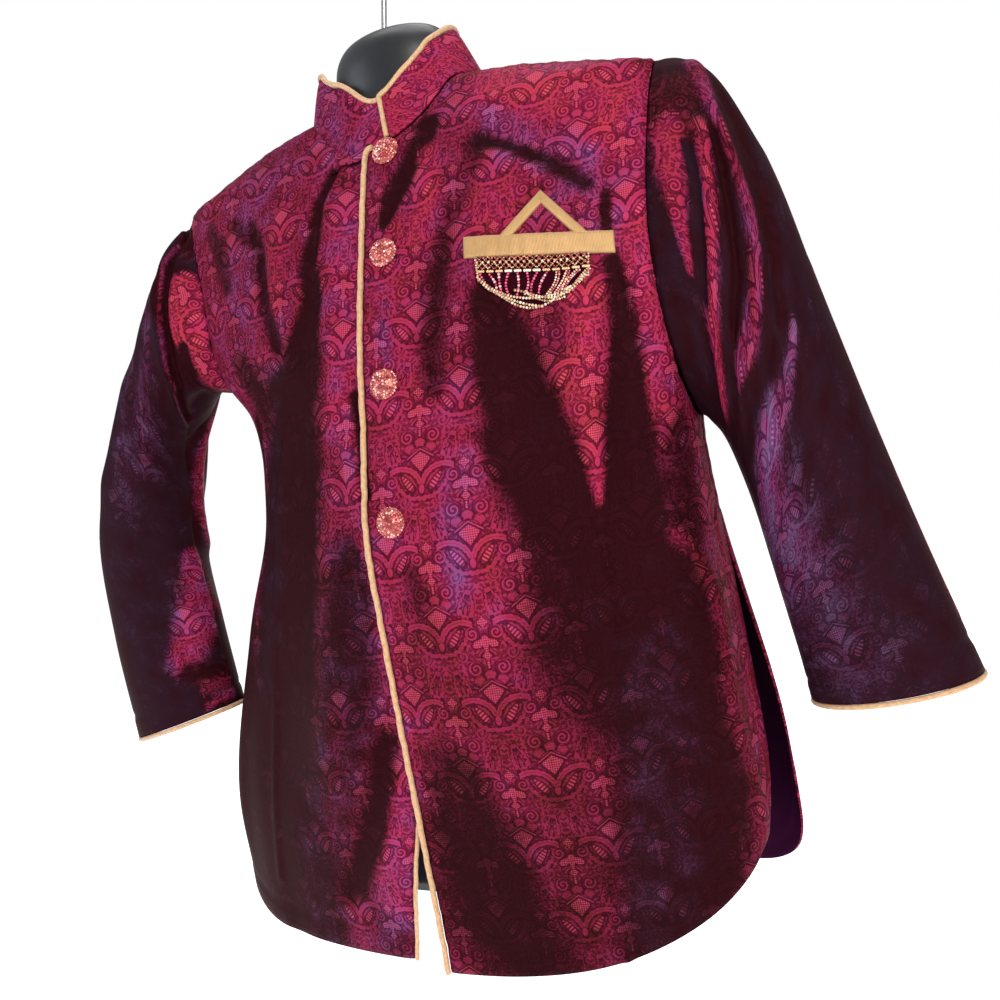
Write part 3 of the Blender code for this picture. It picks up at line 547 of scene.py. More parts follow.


# ---- drapes: soft troughs and ridges, with painted highlight, painted shade and painted violet sheen on them ----

# Lift in mm, painted light from 0 (painted shade) to 1 (painted highlight), share of painted violet sheen,
# softness of the edge, and a path. A drape's path is (across, up, half width) on the flat cloth in mm; a
# stroke's path is (right, down, half width) in steps of the frame, where the camera sees it on the cloth.
# Later rows lie over earlier ones.
Drape = namedtuple("Drape", "lift shine violet soft path")
AS_IS = -1                  # the painted light under the drape stays
STEP = 0.64                 # mm of cloth in a step of the frame
FRONT_STROKES = [
    # the wearer's left front
    Drape(0, 0.1, 0.7, 0.6, [(285, 400, 34), (280, 520, 46), (278, 640, 52), (276, 760, 60),
          (280, 880, 60)]),
    Drape(0, 0.22, 0.6, 0.7, [(348, 560, 22), (345, 640, 30), (340, 720, 34), (325, 800, 34),
          (318, 880, 32), (330, 930, 30)]),
    Drape(-1, 0.12, 0.1, 0.7, [(460, 800, 30), (480, 860, 50), (500, 910, 58), (530, 950, 50)]),
    Drape(0, 0.25, 0.2, 0.7, [(550, 540, 30), (568, 600, 44), (590, 670, 50), (610, 730, 44)]),
    Drape(-2.5, 0.05, 0.2, 0.55, [(600, 520, 52), (640, 560, 60), (650, 620, 66), (668, 680, 64),
          (680, 740, 58), (690, 800, 62), (690, 860, 58), (680, 920, 60)]),
    Drape(0, 0.76, 0.22, 0.7, [(398, 240, 20), (392, 300, 24), (390, 360, 28), (420, 430, 42),
          (430, 480, 46), (440, 530, 50), (448, 580, 50), (452, 630, 50), (440, 660, 34)]),
    Drape(1.2, 0.53, 0.1, 0.85, [(425, 640, 34), (446, 690, 38), (486, 720, 38), (530, 752, 40),
          (572, 788, 42), (588, 815, 36)]),
    Drape(0, 0.42, 0.1, 0.85, [(590, 820, 42), (590, 860, 40), (596, 910, 34)]),
    Drape(0, 0.26, 0, 0.7, [(448, 770, 24), (466, 795, 24)]),
    Drape(-3.5, 0.05, 0.3, 0.6, [(428, 124, 11), (412, 160, 13), (400, 182, 12), (390, 202, 10),
          (383, 222, 6)]),
    Drape(-2.2, 0.4, 0.3, 0.95, [(474, 140, 9), (470, 178, 9), (454, 200, 9), (446, 225, 9)]),
    Drape(-2.2, 0.27, 0.3, 0.95, [(442, 245, 9), (438, 268, 10), (434, 300, 12), (430, 345, 11),
          (433, 385, 10)]),
    Drape(0, 0.86, 0.1, 0.8, [(424, 150, 10), (428, 195, 12), (418, 235, 10)]),
    Drape(0, 1, 0.1, 0.8, [(500, 85, 26), (560, 90, 30), (615, 100, 28), (600, 130, 30)]),
    Drape(0, 0.76, 0.1, 0.7, [(500, 190, 30), (490, 225, 22)]),
    Drape(0, 0.76, 0.7, 0.8, [(486, 112, 12), (520, 150, 20), (570, 150, 22), (610, 225, 18)]),
    Drape(-2.4, 0.15, 0.5, 0.7, [(476, 138, 8), (510, 146, 5), (552, 162, 8), (586, 182, 7)]),
    Drape(-1.6, 0.18, 0.3, 0.6, [(606, 192, 5), (606, 235, 6)]),
    Drape(-4, 0.03, 0.2, 0.5, [(612, 262, 8), (622, 300, 13), (624, 340, 15), (628, 375, 19),
          (628, 410, 21), (632, 450, 28), (640, 490, 26), (640, 530, 30)]),
    Drape(0, 0.25, 0.3, 0.8, [(680, 430, 14), (684, 480, 22), (690, 520, 18)]),
    Drape(-3.4, 0.1, 0.1, 0.55, [(486, 296, 16), (498, 335, 24), (508, 365, 30), (524, 400, 34),
          (532, 440, 43), (552, 485, 42), (590, 525, 50)]),
    Drape(0, 0.03, 0.1, 0.6, [(502, 362, 22), (526, 400, 26), (534, 440, 36), (556, 485, 30)]),
    Drape(3, 0.8, 0, 0.7, [(580, 296, 24), (580, 340, 25), (578, 370, 22), (583, 400, 17), (587, 422, 13),
          (593, 447, 10), (598, 475, 8), (602, 500, 4)]),
    Drape(2.2, 0.84, 0.3, 0.6, [(636, 120, 18), (640, 180, 20), (648, 230, 22), (652, 270, 20),
          (660, 310, 20), (664, 345, 16), (660, 380, 13), (666, 405, 13)]),
    Drape(2, 0.46, 0.1, 0.7, [(680, 535, 9), (704, 563, 9), (720, 600, 12), (728, 650, 12), (734, 690, 14),
          (744, 735, 12), (756, 770, 10), (764, 830, 11)]),
    Drape(0, 0.35, 0.1, 0.8, [(410, 575, 9), (418, 602, 11)]),
    Drape(0, 0.46, 0.2, 0.95, [(552, 318, 12), (554, 345, 12)]),
    Drape(0, 0.8, 0.7, 0.9, [(462, 462, 13), (452, 520, 15), (452, 560, 15), (462, 600, 13)]),
    Drape(0, 0.72, 0.7, 0.9, [(380, 310, 8), (384, 350, 9)]),
    Drape(0, 0.22, 0.7, 0.7, [(655, 660, 30), (658, 760, 34), (662, 860, 36), (660, 920, 30)]),
    # the wearer's right front
    Drape(0, 0.62, 0.6, 0.7, [(270, 170, 40), (250, 220, 30), (240, 290, 22), (245, 340, 18)]),
    Drape(0, 0.34, 0.5, 0.8, [(236, 225, 8), (256, 245, 9), (258, 275, 8)]),
    Drape(0, 0.28, 0.3, 0.8, [(212, 232, 9), (222, 262, 12), (228, 288, 9)]),
    Drape(0, 0.24, 0.3, 0.8, [(240, 366, 14), (256, 386, 22), (262, 404, 22)]),
    Drape(0, 0.06, 0.3, 0.7, [(258, 425, 9), (262, 450, 12), (262, 490, 14), (258, 540, 16)]),
    Drape(0, 0.5, 0.3, 0.8, [(238, 680, 7), (242, 700, 6)]),
    Drape(-1, 0.05, 0.2, 0.5, [(300, 360, 26), (296, 430, 36), (300, 500, 40), (300, 580, 40),
          (296, 660, 40), (284, 740, 44), (276, 820, 30), (300, 930, 20)]),
    Drape(-3.6, 0.05, 0.2, 0.5, [(332, 172, 5), (316, 205, 6), (312, 235, 8), (307, 265, 10),
          (310, 300, 12), (300, 350, 20)]),
    Drape(-2.4, 0.2, 0.4, 0.6, [(250, 225, 5), (260, 255, 6), (264, 310, 7), (276, 345, 9)]),
    Drape(2, 0.66, 0.1, 0.6, [(285, 215, 16), (276, 250, 12), (276, 285, 10), (277, 310, 4)]),
    Drape(1.6, 0.86, 0.45, 0.5, [(343, 200, 13), (344, 260, 17), (345, 330, 18), (342, 380, 15),
          (340, 420, 15), (345, 445, 9)]),
    Drape(3.2, 0.74, 0.5, 0.5, [(344, 455, 6), (350, 490, 7), (356, 520, 8), (366, 550, 9), (374, 580, 9)]),
    Drape(1.6, 0.88, 0.55, 0.6, [(374, 580, 8), (381, 610, 9), (385, 650, 9), (396, 700, 9),
          (404, 730, 8)]),
    Drape(-3, 0.05, 0.1, 0.5, [(350, 395, 6), (357, 430, 6), (360, 465, 6), (366, 495, 5)]),
    Drape(0, 0.48, 0.7, 0.8, [(390, 900, 26), (394, 940, 26)]),
    Drape(1.6, 0.86, 0.6, 0.6, [(404, 730, 8), (408, 780, 10), (402, 830, 14), (394, 870, 22),
          (398, 900, 20)]),
    Drape(0, 0.38, 0.5, 0.9, [(338, 700, 12), (336, 790, 14), (330, 840, 14)]),
    Drape(-2, 0.07, 0.1, 0.7, [(384, 745, 10), (378, 790, 12), (370, 840, 15), (352, 890, 14)]),
]
LEFT_SLEEVE_STROKES = [
    Drape(0, 0.09, 0.8, 0.4, [(770, 120, 30), (790, 250, 40), (830, 400, 60), (880, 550, 60),
          (930, 660, 50)]),
    Drape(0, 0.32, 0, 0.6, [(672, 90, 20), (676, 120, 16)]),
    Drape(0, 0.88, 0.25, 0.75, [(668, 130, 13), (672, 170, 12), (680, 220, 7), (690, 270, 4)]),
    Drape(3, 0.68, 0.15, 0.7, [(702, 130, 9), (711, 200, 11), (712, 275, 13), (716, 340, 16),
          (724, 395, 16)]),
    Drape(3.2, 0.58, 0.45, 0.7, [(694, 66, 8), (710, 106, 9), (733, 166, 10), (750, 215, 12),
          (757, 275, 13), (754, 330, 15), (742, 372, 14)]),
    Drape(-3.2, 0.04, 0.9, 0.4, [(687, 142, 5), (695, 182, 6), (702, 250, 6), (706, 300, 5)]),
    Drape(-3.6, 0.01, 0.1, 0.4, [(713, 132, 6), (731, 215, 9), (738, 275, 10), (733, 325, 8)]),
    Drape(-2.4, 0.02, 0.3, 0.4, [(726, 100, 10), (757, 175, 14), (776, 250, 12), (780, 310, 10)]),
    Drape(-2, 0.02, 0.6, 0.5, [(745, 408, 12), (765, 380, 10), (772, 345, 7)]),
    Drape(1, 0.58, 1.3, 0.9, [(778, 520, 36), (790, 560, 40), (806, 600, 40)]),
    Drape(1.5, 0.6, 1.3, 0.95, [(794, 330, 6), (786, 390, 12), (772, 430, 22)]),
    Drape(0, 0.8, 1.3, 0.95, [(772, 430, 16), (764, 465, 24), (768, 500, 22)]),
    Drape(1, 0.34, 1.2, 0.9, [(822, 620, 40), (846, 660, 42)]),
    Drape(0.4, 0.5, 0, 0.8, [(812, 262, 3), (862, 392, 3), (912, 505, 3), (962, 610, 3)]),
]
RIGHT_SLEEVE_DRAPES = [
    Drape(0, 0.11, 0.9, 0.4, [(77, 301, 19), (71, 244, 28), (75, 164, 29), (75, 83, 28), (69, 21, 26)]),
    Drape(0, 0.36, 0.9, 0.95, [(58, 308, 5), (82, 286, 12), (76, 250, 18), (70, 214, 16)]),
    Drape(0, 0.30, 1.2, 0.95, [(50, 256, 10), (56, 216, 12), (60, 170, 12)]),
    Drape(1.2, 0.58, 0.3, 0.85, [(-12, 256, 8), (-18, 196, 13), (-18, 126, 15), (-16, 54, 14)]),
    Drape(-8.5, AS_IS, 0, 0.5, [(8, 332, 14), (22, 316, 16), (34, 304, 13), (42, 292, 9)]),
    Drape(4.5, AS_IS, 0, 0.5, [(38, 236, 16), (34, 205, 20), (30, 178, 18)]),
    Drape(-9, AS_IS, 0, 0.5, [(158, 300, 16), (156, 262, 24), (148, 222, 18)]),
    Drape(-9, AS_IS, 0, 0.5, [(-158, 300, 16), (-156, 262, 24), (-148, 222, 18)]),
    Drape(4.5, AS_IS, 0, 0.5, [(14, 328, 4), (34, 319, 5), (62, 312, 6), (88, 307, 6), (116, 297, 6),
          (124, 272, 6)]),
    Drape(2.0, 0.92, 0.10, 0.4, [(66, 332, 10), (80, 330, 13), (98, 328, 15), (114, 326, 14)]),
    Drape(0, 0.72, 0.10, 0.6, [(122, 332, 11), (142, 331, 9)]),
    Drape(-4.5, 0.03, 0, 0.35, [(20, 335, 3), (44, 325, 2), (72, 318, 2), (97, 313, 2), (124, 305, 3),
          (134, 278, 4)]),
    Drape(-1.5, 0.22, 0.1, 0.6, [(22, 340, 8), (38, 338, 8)]),
    Drape(-2.6, 0.03, 0, 0.5, [(108, 322, 4), (124, 318, 6)]),
    Drape(-2, 0.04, 0, 0.5, [(142, 297, 7), (152, 314, 4), (-150, 312, 4)]),
    Drape(0, 0.50, 0.4, 0.6, [(30, 328, 1.6), (44, 321, 1.6), (72, 314, 1.6), (97, 309, 1.6),
          (120, 300, 1.6), (128, 276, 1.6)]),
    Drape(2.4, 0.80, 0.55, 0.6, [(116, 134, 10), (118, 104, 16), (106, 71, 16), (92, 45, 12)]),
    Drape(-1.6, 0.10, 0.2, 0.6, [(94, 36, 8), (118, 31, 8)]),
    Drape(0, 0.5, 0.3, 0.8, [(104, 20, 7), (122, 22, 7)]),
    Drape(1, 0.6, 0.4, 0.6, [(119, 9, 5), (100, 6, 3)]),
]
BACK_DRAPES = [
    Drape(0, 0.34, 0.4, 0.95, [(-112, 330, 22), (-96, 240, 40), (-104, 140, 56), (-112, 50, 60)]),
    Drape(0, 0.30, 0.4, 0.95, [(96, 340, 20), (92, 260, 38), (108, 170, 54), (124, 70, 60)]),
    Drape(0, 0.42, 0.3, 0.95, [(-24, 260, 20), (-20, 190, 30), (-20, 100, 36)]),
    Drape(-3.2, 0.06, 0.2, 0.85, [(-134, 432, 4), (-122, 392, 7), (-106, 330, 11), (-92, 262, 19),
          (-96, 196, 30), (-104, 120, 38), (-98, 56, 30)]),
    Drape(-2.4, 0.26, 0.3, 0.95, [(-62, 470, 5), (-52, 420, 7), (-40, 360, 8), (-32, 300, 9)]),
    Drape(-3.6, 0.05, 0.1, 0.85, [(16, 446, 4), (8, 404, 6), (-2, 350, 9), (-8, 285, 15), (-2, 215, 22),
          (12, 156, 24), (16, 104, 15)]),
    Drape(-2.2, 0.24, 0.5, 0.95, [(50, 486, 4), (60, 440, 6), (66, 396, 7), (64, 352, 6)]),
    Drape(-3.4, 0.05, 0.2, 0.85, [(138, 436, 4), (124, 390, 8), (106, 326, 11), (96, 250, 18),
          (104, 176, 28), (122, 96, 36), (128, 46, 28)]),
    Drape(3.0, 0.84, 0.2, 0.8, [(-90, 450, 12), (-78, 390, 14), (-64, 320, 14), (-54, 250, 11),
          (-46, 196, 7)]),
    Drape(2.6, 0.82, 0.4, 0.8, [(34, 470, 14), (38, 400, 14), (42, 330, 14), (48, 262, 13), (56, 196, 9),
          (62, 146, 5)]),
    Drape(1.6, 0.50, 0.3, 0.95, [(-46, 150, 18), (-38, 90, 26), (-30, 30, 30)]),
    Drape(1.8, 0.60, 0.2, 0.95, [(-150, 200, 8), (-158, 130, 12), (-164, 60, 12)]),
    Drape(1.8, 0.54, 0.3, 0.95, [(64, 110, 12), (66, 60, 18), (58, 20, 20)]),
    Drape(-1.6, 0.14, 0.3, 0.9, [(0, 74, 8), (-6, 40, 14), (-4, 8, 18)]),
    Drape(0, 0.74, 0.9, 0.95, [(-74, 474, 16), (-66, 424, 14), (-58, 370, 8)]),
    Drape(0, 0.70, 0.9, 0.95, [(100, 452, 16), (96, 400, 16), (88, 352, 9)]),
]
SLEEVE_BACKS = [
    Drape(2.4, 0.58, 0.1, 0.8, [(44, 292, 6), (54, 262, 9), (64, 214, 10), (70, 172, 7)]),
    Drape(-2.6, 0.04, 0.3, 0.6, [(62, 292, 4), (76, 256, 7), (84, 206, 8), (88, 158, 9)]),
    Drape(2.6, 0.62, 0.3, 0.8, [(88, 274, 8), (98, 226, 10), (104, 176, 10), (96, 140, 8)]),
    Drape(-2.6, 0.04, 0.3, 0.6, [(112, 262, 6), (122, 208, 9), (120, 150, 9)]),
    Drape(1.6, 0.46, 1.2, 0.95, [(58, 128, 14), (62, 76, 20), (68, 26, 18)]),
    Drape(1.4, 0.40, 0.3, 0.9, [(132, 176, 8), (128, 118, 10), (116, 84, 8)]),
]

BUTTON_CALM, POCKET_CALM, EDGE_CALM = 0.016, 0.017, 0.010    # reach of the still cloth round each
EDGE_STILL = 0.85           # share of the creases that the piped edge takes away
FAR = 9.0                   # farther than any place on the cloth
LINE_POINTS = 160           # points that are enough to measure a distance to a seam
# Painted light and painted violet sheen where no drape lies: the body half lit, the sleeves in painted shade.
FRONT_PAINTED_LIGHT, FRONT_VIOLET = 0.62, 0.36
SLEEVE_PAINTED_LIGHT, SLEEVE_VIOLET = 0.09, 0.7
CUFF_ROW = SLEEVE[1][-1].row


def laid(strokes, points, flat):
    """Lays strokes on a grid of cloth and gives them as drapes of its flat cut."""
    spot_at = finder(points, flat)
    return [
        stroke._replace(path=[(*spot_at(x, y) * 1000, max(2, half * STEP)) for x, y, half in stroke.path])
        for stroke in strokes
    ]


def sleeve_base(side, columns, rows):
    """A sleeve without its creases, round from the inner seam and up from the cuff."""
    turn = side * (math.pi - math.tau * steps(columns))
    row = CUFF_ROW * (1 - steps(rows))
    return sleeve_points(side, turn[None, :], row[:, None])


seen_angle, seen_height = grids(np.radians(np.linspace(-95, 115, 421)), np.linspace(0, TOP, 530)[:, None])
FRONT_DRAPES = laid(FRONT_STROKES, skin(seen_angle, seen_height), flat_body(seen_angle, seen_height)) + [
    Drape(0, 0.05, 0.3, 0.4, [(-172, 345, 16), (-182, 260, 24), (-190, 150, 36), (-192, 50, 40)]),
    Drape(1.3, AS_IS, 0, 0.5, [(120, 240, 3), (120, 205, 3), (115, 155, 3), (105, 100, 3), (95, 5, 3)]),
    Drape(1.3, AS_IS, 0, 0.5, [(-85, 335, 3), (-110, 280, 3), (-120, 205, 3), (-135, 125, 3),
          (-150, 40, 3)]),
]
seen_sleeve = sleeve_base(1, 240, 320)
LEFT_SLEEVE_DRAPES = laid(LEFT_SLEEVE_STROKES, seen_sleeve, flat_grid(seen_sleeve)) + [
    Drape(1.2, 0.70, 0.1, 0.8, [(9, 226, 7), (19, 184, 12), (22, 124, 15), (20, 74, 16), (17, 24, 14)]),
]


def drape(flat, drapes, shine, violet):
    """Lift in metres, painted light, and the share of painted purple sheen at points of the flat cloth."""
    lift = np.zeros(flat.shape[:-1])
    shine, violet = lift + shine, lift + violet
    for row in drapes:
        path = np.array(row.path, float) / 1000
        best = np.full(lift.shape, FAR)
        for a, b in zip(path, path[1:]):
            run = b[:2] - a[:2]
            share = np.clip(((flat - a[:2]) @ run) / max(run @ run, 1e-9), 0, 1)
            gap = np.linalg.norm(flat - a[:2] - share[..., None] * run, axis=-1)
            best = np.minimum(best, gap / mix(a[2], b[2], share))
        lift += row.lift / 1000 * np.exp(-best ** 2)
        if row.shine == AS_IS:
            continue
        share = 1 - ease(1 - row.soft, 1 + row.soft, best)
        shine, violet = mix(shine, row.shine, share), mix(violet, row.violet, share)
    return lift, shine, violet


def gap_to(flat, line):
    """Distance of every point of the flat cloth to a line of points on it."""
    best = np.full(flat.shape[:-1], FAR)
    for point in line[:: max(1, len(line) // LINE_POINTS)]:
        best = np.minimum(best, np.linalg.norm(flat - point, axis=-1))
    return best


def still_spots():
    """Spots of the flat cloth under the buttons and the pocket's band, each with its reach."""
    spots = [(flat_body(angle_at(b.across, b.height), b.height), BUTTON_CALM) for b in BUTTONS]
    for share in steps(6):
        height = POCKET_START - POCKET_FALL * share
        angle = angle_at(mix(POCKET_NEAR, POCKET_FAR, share), height)
        spots.append((flat_body(angle, height), POCKET_CALM))
    return spots


STILL_SPOTS = still_spots()
LAP_LINE = flat_body(*front_paths(1, lap_edge, steps(1), steps(119))[:, 0].T)


def calm(flat):
    """The cloth lies still under the buttons, the pocket's stiff band and the piped edge."""
    still = np.ones(flat.shape[:-1])
    for spot, reach in STILL_SPOTS:
        still = np.minimum(still, 1 - np.exp(-(np.linalg.norm(flat - spot, axis=-1) / reach) ** 4))
    return still * (1 - EDGE_STILL * near(gap_to(flat, LAP_LINE), EDGE_CALM))


def on_front(across, height, out):
    """Points on the finished left front, by their distance past the centre line and their height."""
    across, height = grids(across, height)
    angle = angle_at(across, height)
    flat = flat_body(angle, height)
    lift = drape(flat, FRONT_DRAPES, FRONT_PAINTED_LIGHT, FRONT_VIOLET)[0]
    return skin(angle, height, out + lift * calm(flat))


def pocket_points(along, rise, out):
    """Points along the pocket's sloping band, and above it."""
    along = np.asarray(along, float)
    share = along / (POCKET_FAR - POCKET_NEAR)
    return on_front(POCKET_NEAR + along, POCKET_START - POCKET_FALL * share + rise, out)


# ---- making pieces ----

def show(name, data, slot, *finishes, nodes=()):
    """Puts a finished mesh in the scene as a piece that rides on the coat."""
    data.name = name
    for finish in finishes:
        data.materials.append(finish)
    data.shade_smooth()
    piece = bpy.data.objects.new(name, data)
    bpy.context.scene.collection.objects.link(piece)
    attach(piece, "root")
    if nodes:
        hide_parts(*nodes)
    return piece


def meshed(bm, name):
    """The mesh of a finished bmesh."""
    data = bpy.data.meshes.new(name)
    bm.to_mesh(data)
    bm.free()
    return data


def lay(points, flat=None, values=None, closed=False, capped=False):
    """A grid of cloth laid on an array of points, with its flat cut as the UV map."""
    rows, columns = points.shape[0] - 1, points.shape[1] - 1
    bm = bmesh.new()
    bmesh.ops.create_grid(bm, x_segments=columns, y_segments=rows, size=0.5)
    data = meshed(bm, "laid")
    spots = np.zeros(len(data.vertices) * 3)
    data.vertices.foreach_get("co", spots)
    spots = spots.reshape(-1, 3)
    i = np.rint((spots[:, 0] + 0.5) * columns).astype(int)
    j = np.rint((spots[:, 1] + 0.5) * rows).astype(int)
    data.vertices.foreach_set("co", points[j, i].ravel())
    if flat is not None:
        corner = np.zeros(len(data.loops), int)
        data.loops.foreach_get("vertex_index", corner)
        layer = data.uv_layers.new(name="flat")
        layer.data.foreach_set("uv", flat[j[corner], i[corner]].ravel())
    for name, value in (values or {}).items():
        data.attributes.new(name, "FLOAT", "POINT").data.foreach_set("value", np.clip(value, 0, 1)[j, i])
    if closed or capped:
        bm = bmesh.new()
        bm.from_mesh(data)
        if closed:
            bmesh.ops.remove_doubles(bm, verts=bm.verts, dist=1e-6)
        if capped:
            bmesh.ops.holes_fill(bm, edges=[edge for edge in bm.edges if edge.is_boundary], sides=0)
        bm.to_mesh(data)
        bm.free()
    data.update()
    return data


def line_cloth(piece, thickness):
    """Gives cloth its thickness inwards, with the piece's second finish as its lining."""
    shell = piece.modifiers.new("lining", "SOLIDIFY")
    shell.thickness = thickness
    shell.offset = -1
    shell.material_offset = 1 if len(piece.data.materials) > 1 else 0


def cut_cloth(name, points, flat, shine, violet, thickness=CLOTH, closed=False):
    """Lined brocade in place of a CAD node."""
    data = lay(points, flat, {"shine": shine, "violet": violet}, closed=closed)
    piece = show(name + "_cloth", data, "brocade", brocade, lining, nodes=[name])
    line_cloth(piece, thickness)
    return piece


def gold_strip(name, points, flat):
    """A strip of ribbed gold satin in place of a CAD node."""
    strip = show(name + "_satin", lay(points, flat), "gold_trim", band_gold, nodes=[name])
    line_cloth(strip, TRIM * 0.8)
    return strip


def frames_along(along):
    """Two crosswise directions at every point of a path, turning as little as they can."""
    side = unit(np.cross(along[0], (0.3, 0.2, 0.9)))
    across = []
    for tangent in along:
        side = unit(side - tangent * (side @ tangent))
        across.append(side)
    across = np.array(across)
    return across, np.cross(along, across)


def tube(path, radius, sides=12, closed=False, wander=0.0):
    """A round cord on a path of points, as laid cloth; the flat map runs round and along it."""
    path = np.asarray(path, float)
    if closed:
        along = unit(np.roll(path, -1, 0) - np.roll(path, 1, 0))
        path, along = (np.concatenate([ring, ring[:1]]) for ring in (path, along))
    else:
        along = unit(np.gradient(path, axis=0))
    across, lift = frames_along(along)
    if closed:
        across[-1], lift[-1] = across[0], lift[0]
    turn = np.linspace(0, -math.tau, sides + 1)
    run = length_along(path, 0)
    thick = radius * (1 + wander * np.sin(run / 0.011) * np.sin(run / 0.0047 + 1))
    points = path[:, None] + thick[:, None, None] * (
        across[:, None] * np.cos(turn)[None, :, None] + lift[:, None] * np.sin(turn)[None, :, None])
    flat = pair(-turn[None, :] * radius, run[:, None])
    return lay(points, flat, closed=True, capped=not closed)


def piping(name, path, radius, closed=False):
    """A satin cord in place of a CAD node, never quite even."""
    cord = tube(path, radius, closed=closed, wander=0.05)
    return show(name + "_cord", cord, "gold_trim", piping_gold, nodes=[name])


Spot = namedtuple("Spot", "at x y z")


def smooth_path(points, count):
    """A finer run of points along a path, through a curve."""
    points = np.asarray(points, float)
    run = length_along(points, 0)
    rows = [Spot(at, *point) for at, point in zip(run, points)]
    where = np.linspace(0, run[-1], count)
    return np.stack([curve_of(rows, axis)(where) for axis in "xyz"], -1)


def strew(spots):
    """Round beads at (centre, radius, colour share); the share is kept on each bead."""
    bm = bmesh.new()
    tint = bm.verts.layers.float.new("stone")
    for centre, radius, share in spots:
        here = Matrix.Translation(Vector(centre))
        made = bmesh.ops.create_icosphere(bm, subdivisions=1, radius=radius, matrix=here)
        for vertex in made["verts"]:
            vertex[tint] = share
    return meshed(bm, "beads")


# ---- finishes ----

def maths(operation):
    """A method that puts a thread and what follows it through a Math node."""
    def write(*values):
        return values[0].dye.node("ShaderNodeMath", {"operation": operation}, dict(enumerate(values)))
    return write


class Thread:
    """A socket that sums and products can be written with."""

    def __init__(self, dye, socket):
        self.dye, self.socket = dye, socket

    __add__ = __radd__ = maths("ADD")
    __mul__ = __rmul__ = maths("MULTIPLY")
    __sub__, __truediv__, __abs__ = maths("SUBTRACT"), maths("DIVIDE"), maths("ABSOLUTE")
    sin, cos, turn_to, root = maths("SINE"), maths("COSINE"), maths("ARCTAN2"), maths("SQRT")
    least, most, whole = maths("MINIMUM"), maths("MAXIMUM"), maths("FLOOR")

    def __rsub__(self, other):
        return self.dye.node("ShaderNodeMath", {"operation": "SUBTRACT"}, {0: other, 1: self})

    def rise(self, low, high):
        """0 below low and 1 above high; low and high may be swapped."""
        smooth = {"interpolation_type": "SMOOTHSTEP"}
        return self.dye.node("ShaderNodeMapRange", smooth, {0: self, 1: low, 2: high})

    def band(self, half, soft):
        """1 within half of 0, fading over soft."""
        return abs(self).rise(half + soft, half - soft)


class Dye:
    """A material and its shader."""

    def __init__(self, name, roughness, **constants):
        self.material = bpy.data.materials.new(name)
        self.material.use_nodes = True
        self.tree = self.material.node_tree
        self.shader = self.tree.nodes["Principled BSDF"]
        self.shader.inputs["Roughness"].default_value = roughness
        for key, value in constants.items():
            self.shader.inputs[key.replace("_", " ")].default_value = value

    def plug(self, socket, value):
        if isinstance(value, Thread):
            self.tree.links.new(value.socket, socket)
        elif isinstance(value, tuple) and socket.type == "RGBA":
            socket.default_value = (*value, 1)
        else:
            socket.default_value = value

    def node(self, kind, settings=None, sockets=None, output=0):
        """Any node, from its type, its settings and the values or threads of its sockets."""
        made = self.tree.nodes.new(kind)
        for setting, value in (settings or {}).items():
            setattr(made, setting, value)
        for key, value in (sockets or {}).items():
            self.plug(made.inputs[key], value)
        return Thread(self, made.outputs[output])

    def blend(self, a, b, share):
        return self.node("ShaderNodeMix", {"data_type": "RGBA"}, {0: share, 6: a, 7: b}, output=2)

    def flat(self):
        """Across and up the flat cloth, in mm."""
        place_of = self.node("ShaderNodeUVMap", {"uv_map": "flat"})
        across = self.node("ShaderNodeSeparateXYZ", None, {0: place_of})
        up = Thread(self, across.socket.node.outputs[1])
        return across * 1000, up * 1000

    def spot(self):
        """The place on the piece."""
        return self.node("ShaderNodeTexCoord", None, None, output=3)

    def noise(self, where, scale=1.0, detail=3.0):
        return self.node("ShaderNodeTexNoise", None, {"Vector": where, "Scale": scale, "Detail": detail})

    def mark(self, name):
        """A value that is kept on the mesh's points."""
        return self.node("ShaderNodeAttribute", {"attribute_name": name}, None, output=2)

    def vector(self, x, y):
        return self.node("ShaderNodeCombineXYZ", None, {0: x, 1: y})

    def finish(self, colour, roughness=None, height=None, depth=0.0002, strength=0.5):
        self.plug(self.shader.inputs["Base Color"], colour)
        if roughness is not None:
            self.plug(self.shader.inputs["Roughness"], roughness)
        if height is not None:
            relief = {"Strength": strength, "Distance": depth, "Height": height}
            self.plug(self.shader.inputs["Normal"], self.node("ShaderNodeBump", None, relief))
        return self.material


DROP, REPEAT = 52.0, 61.0       # the half-drop repeat, in steps of the chart
HALF = REPEAT / 2
STEPS_ACROSS, STEPS_UP = 1.24, 1.20   # steps of the chart in 1 mm of cloth


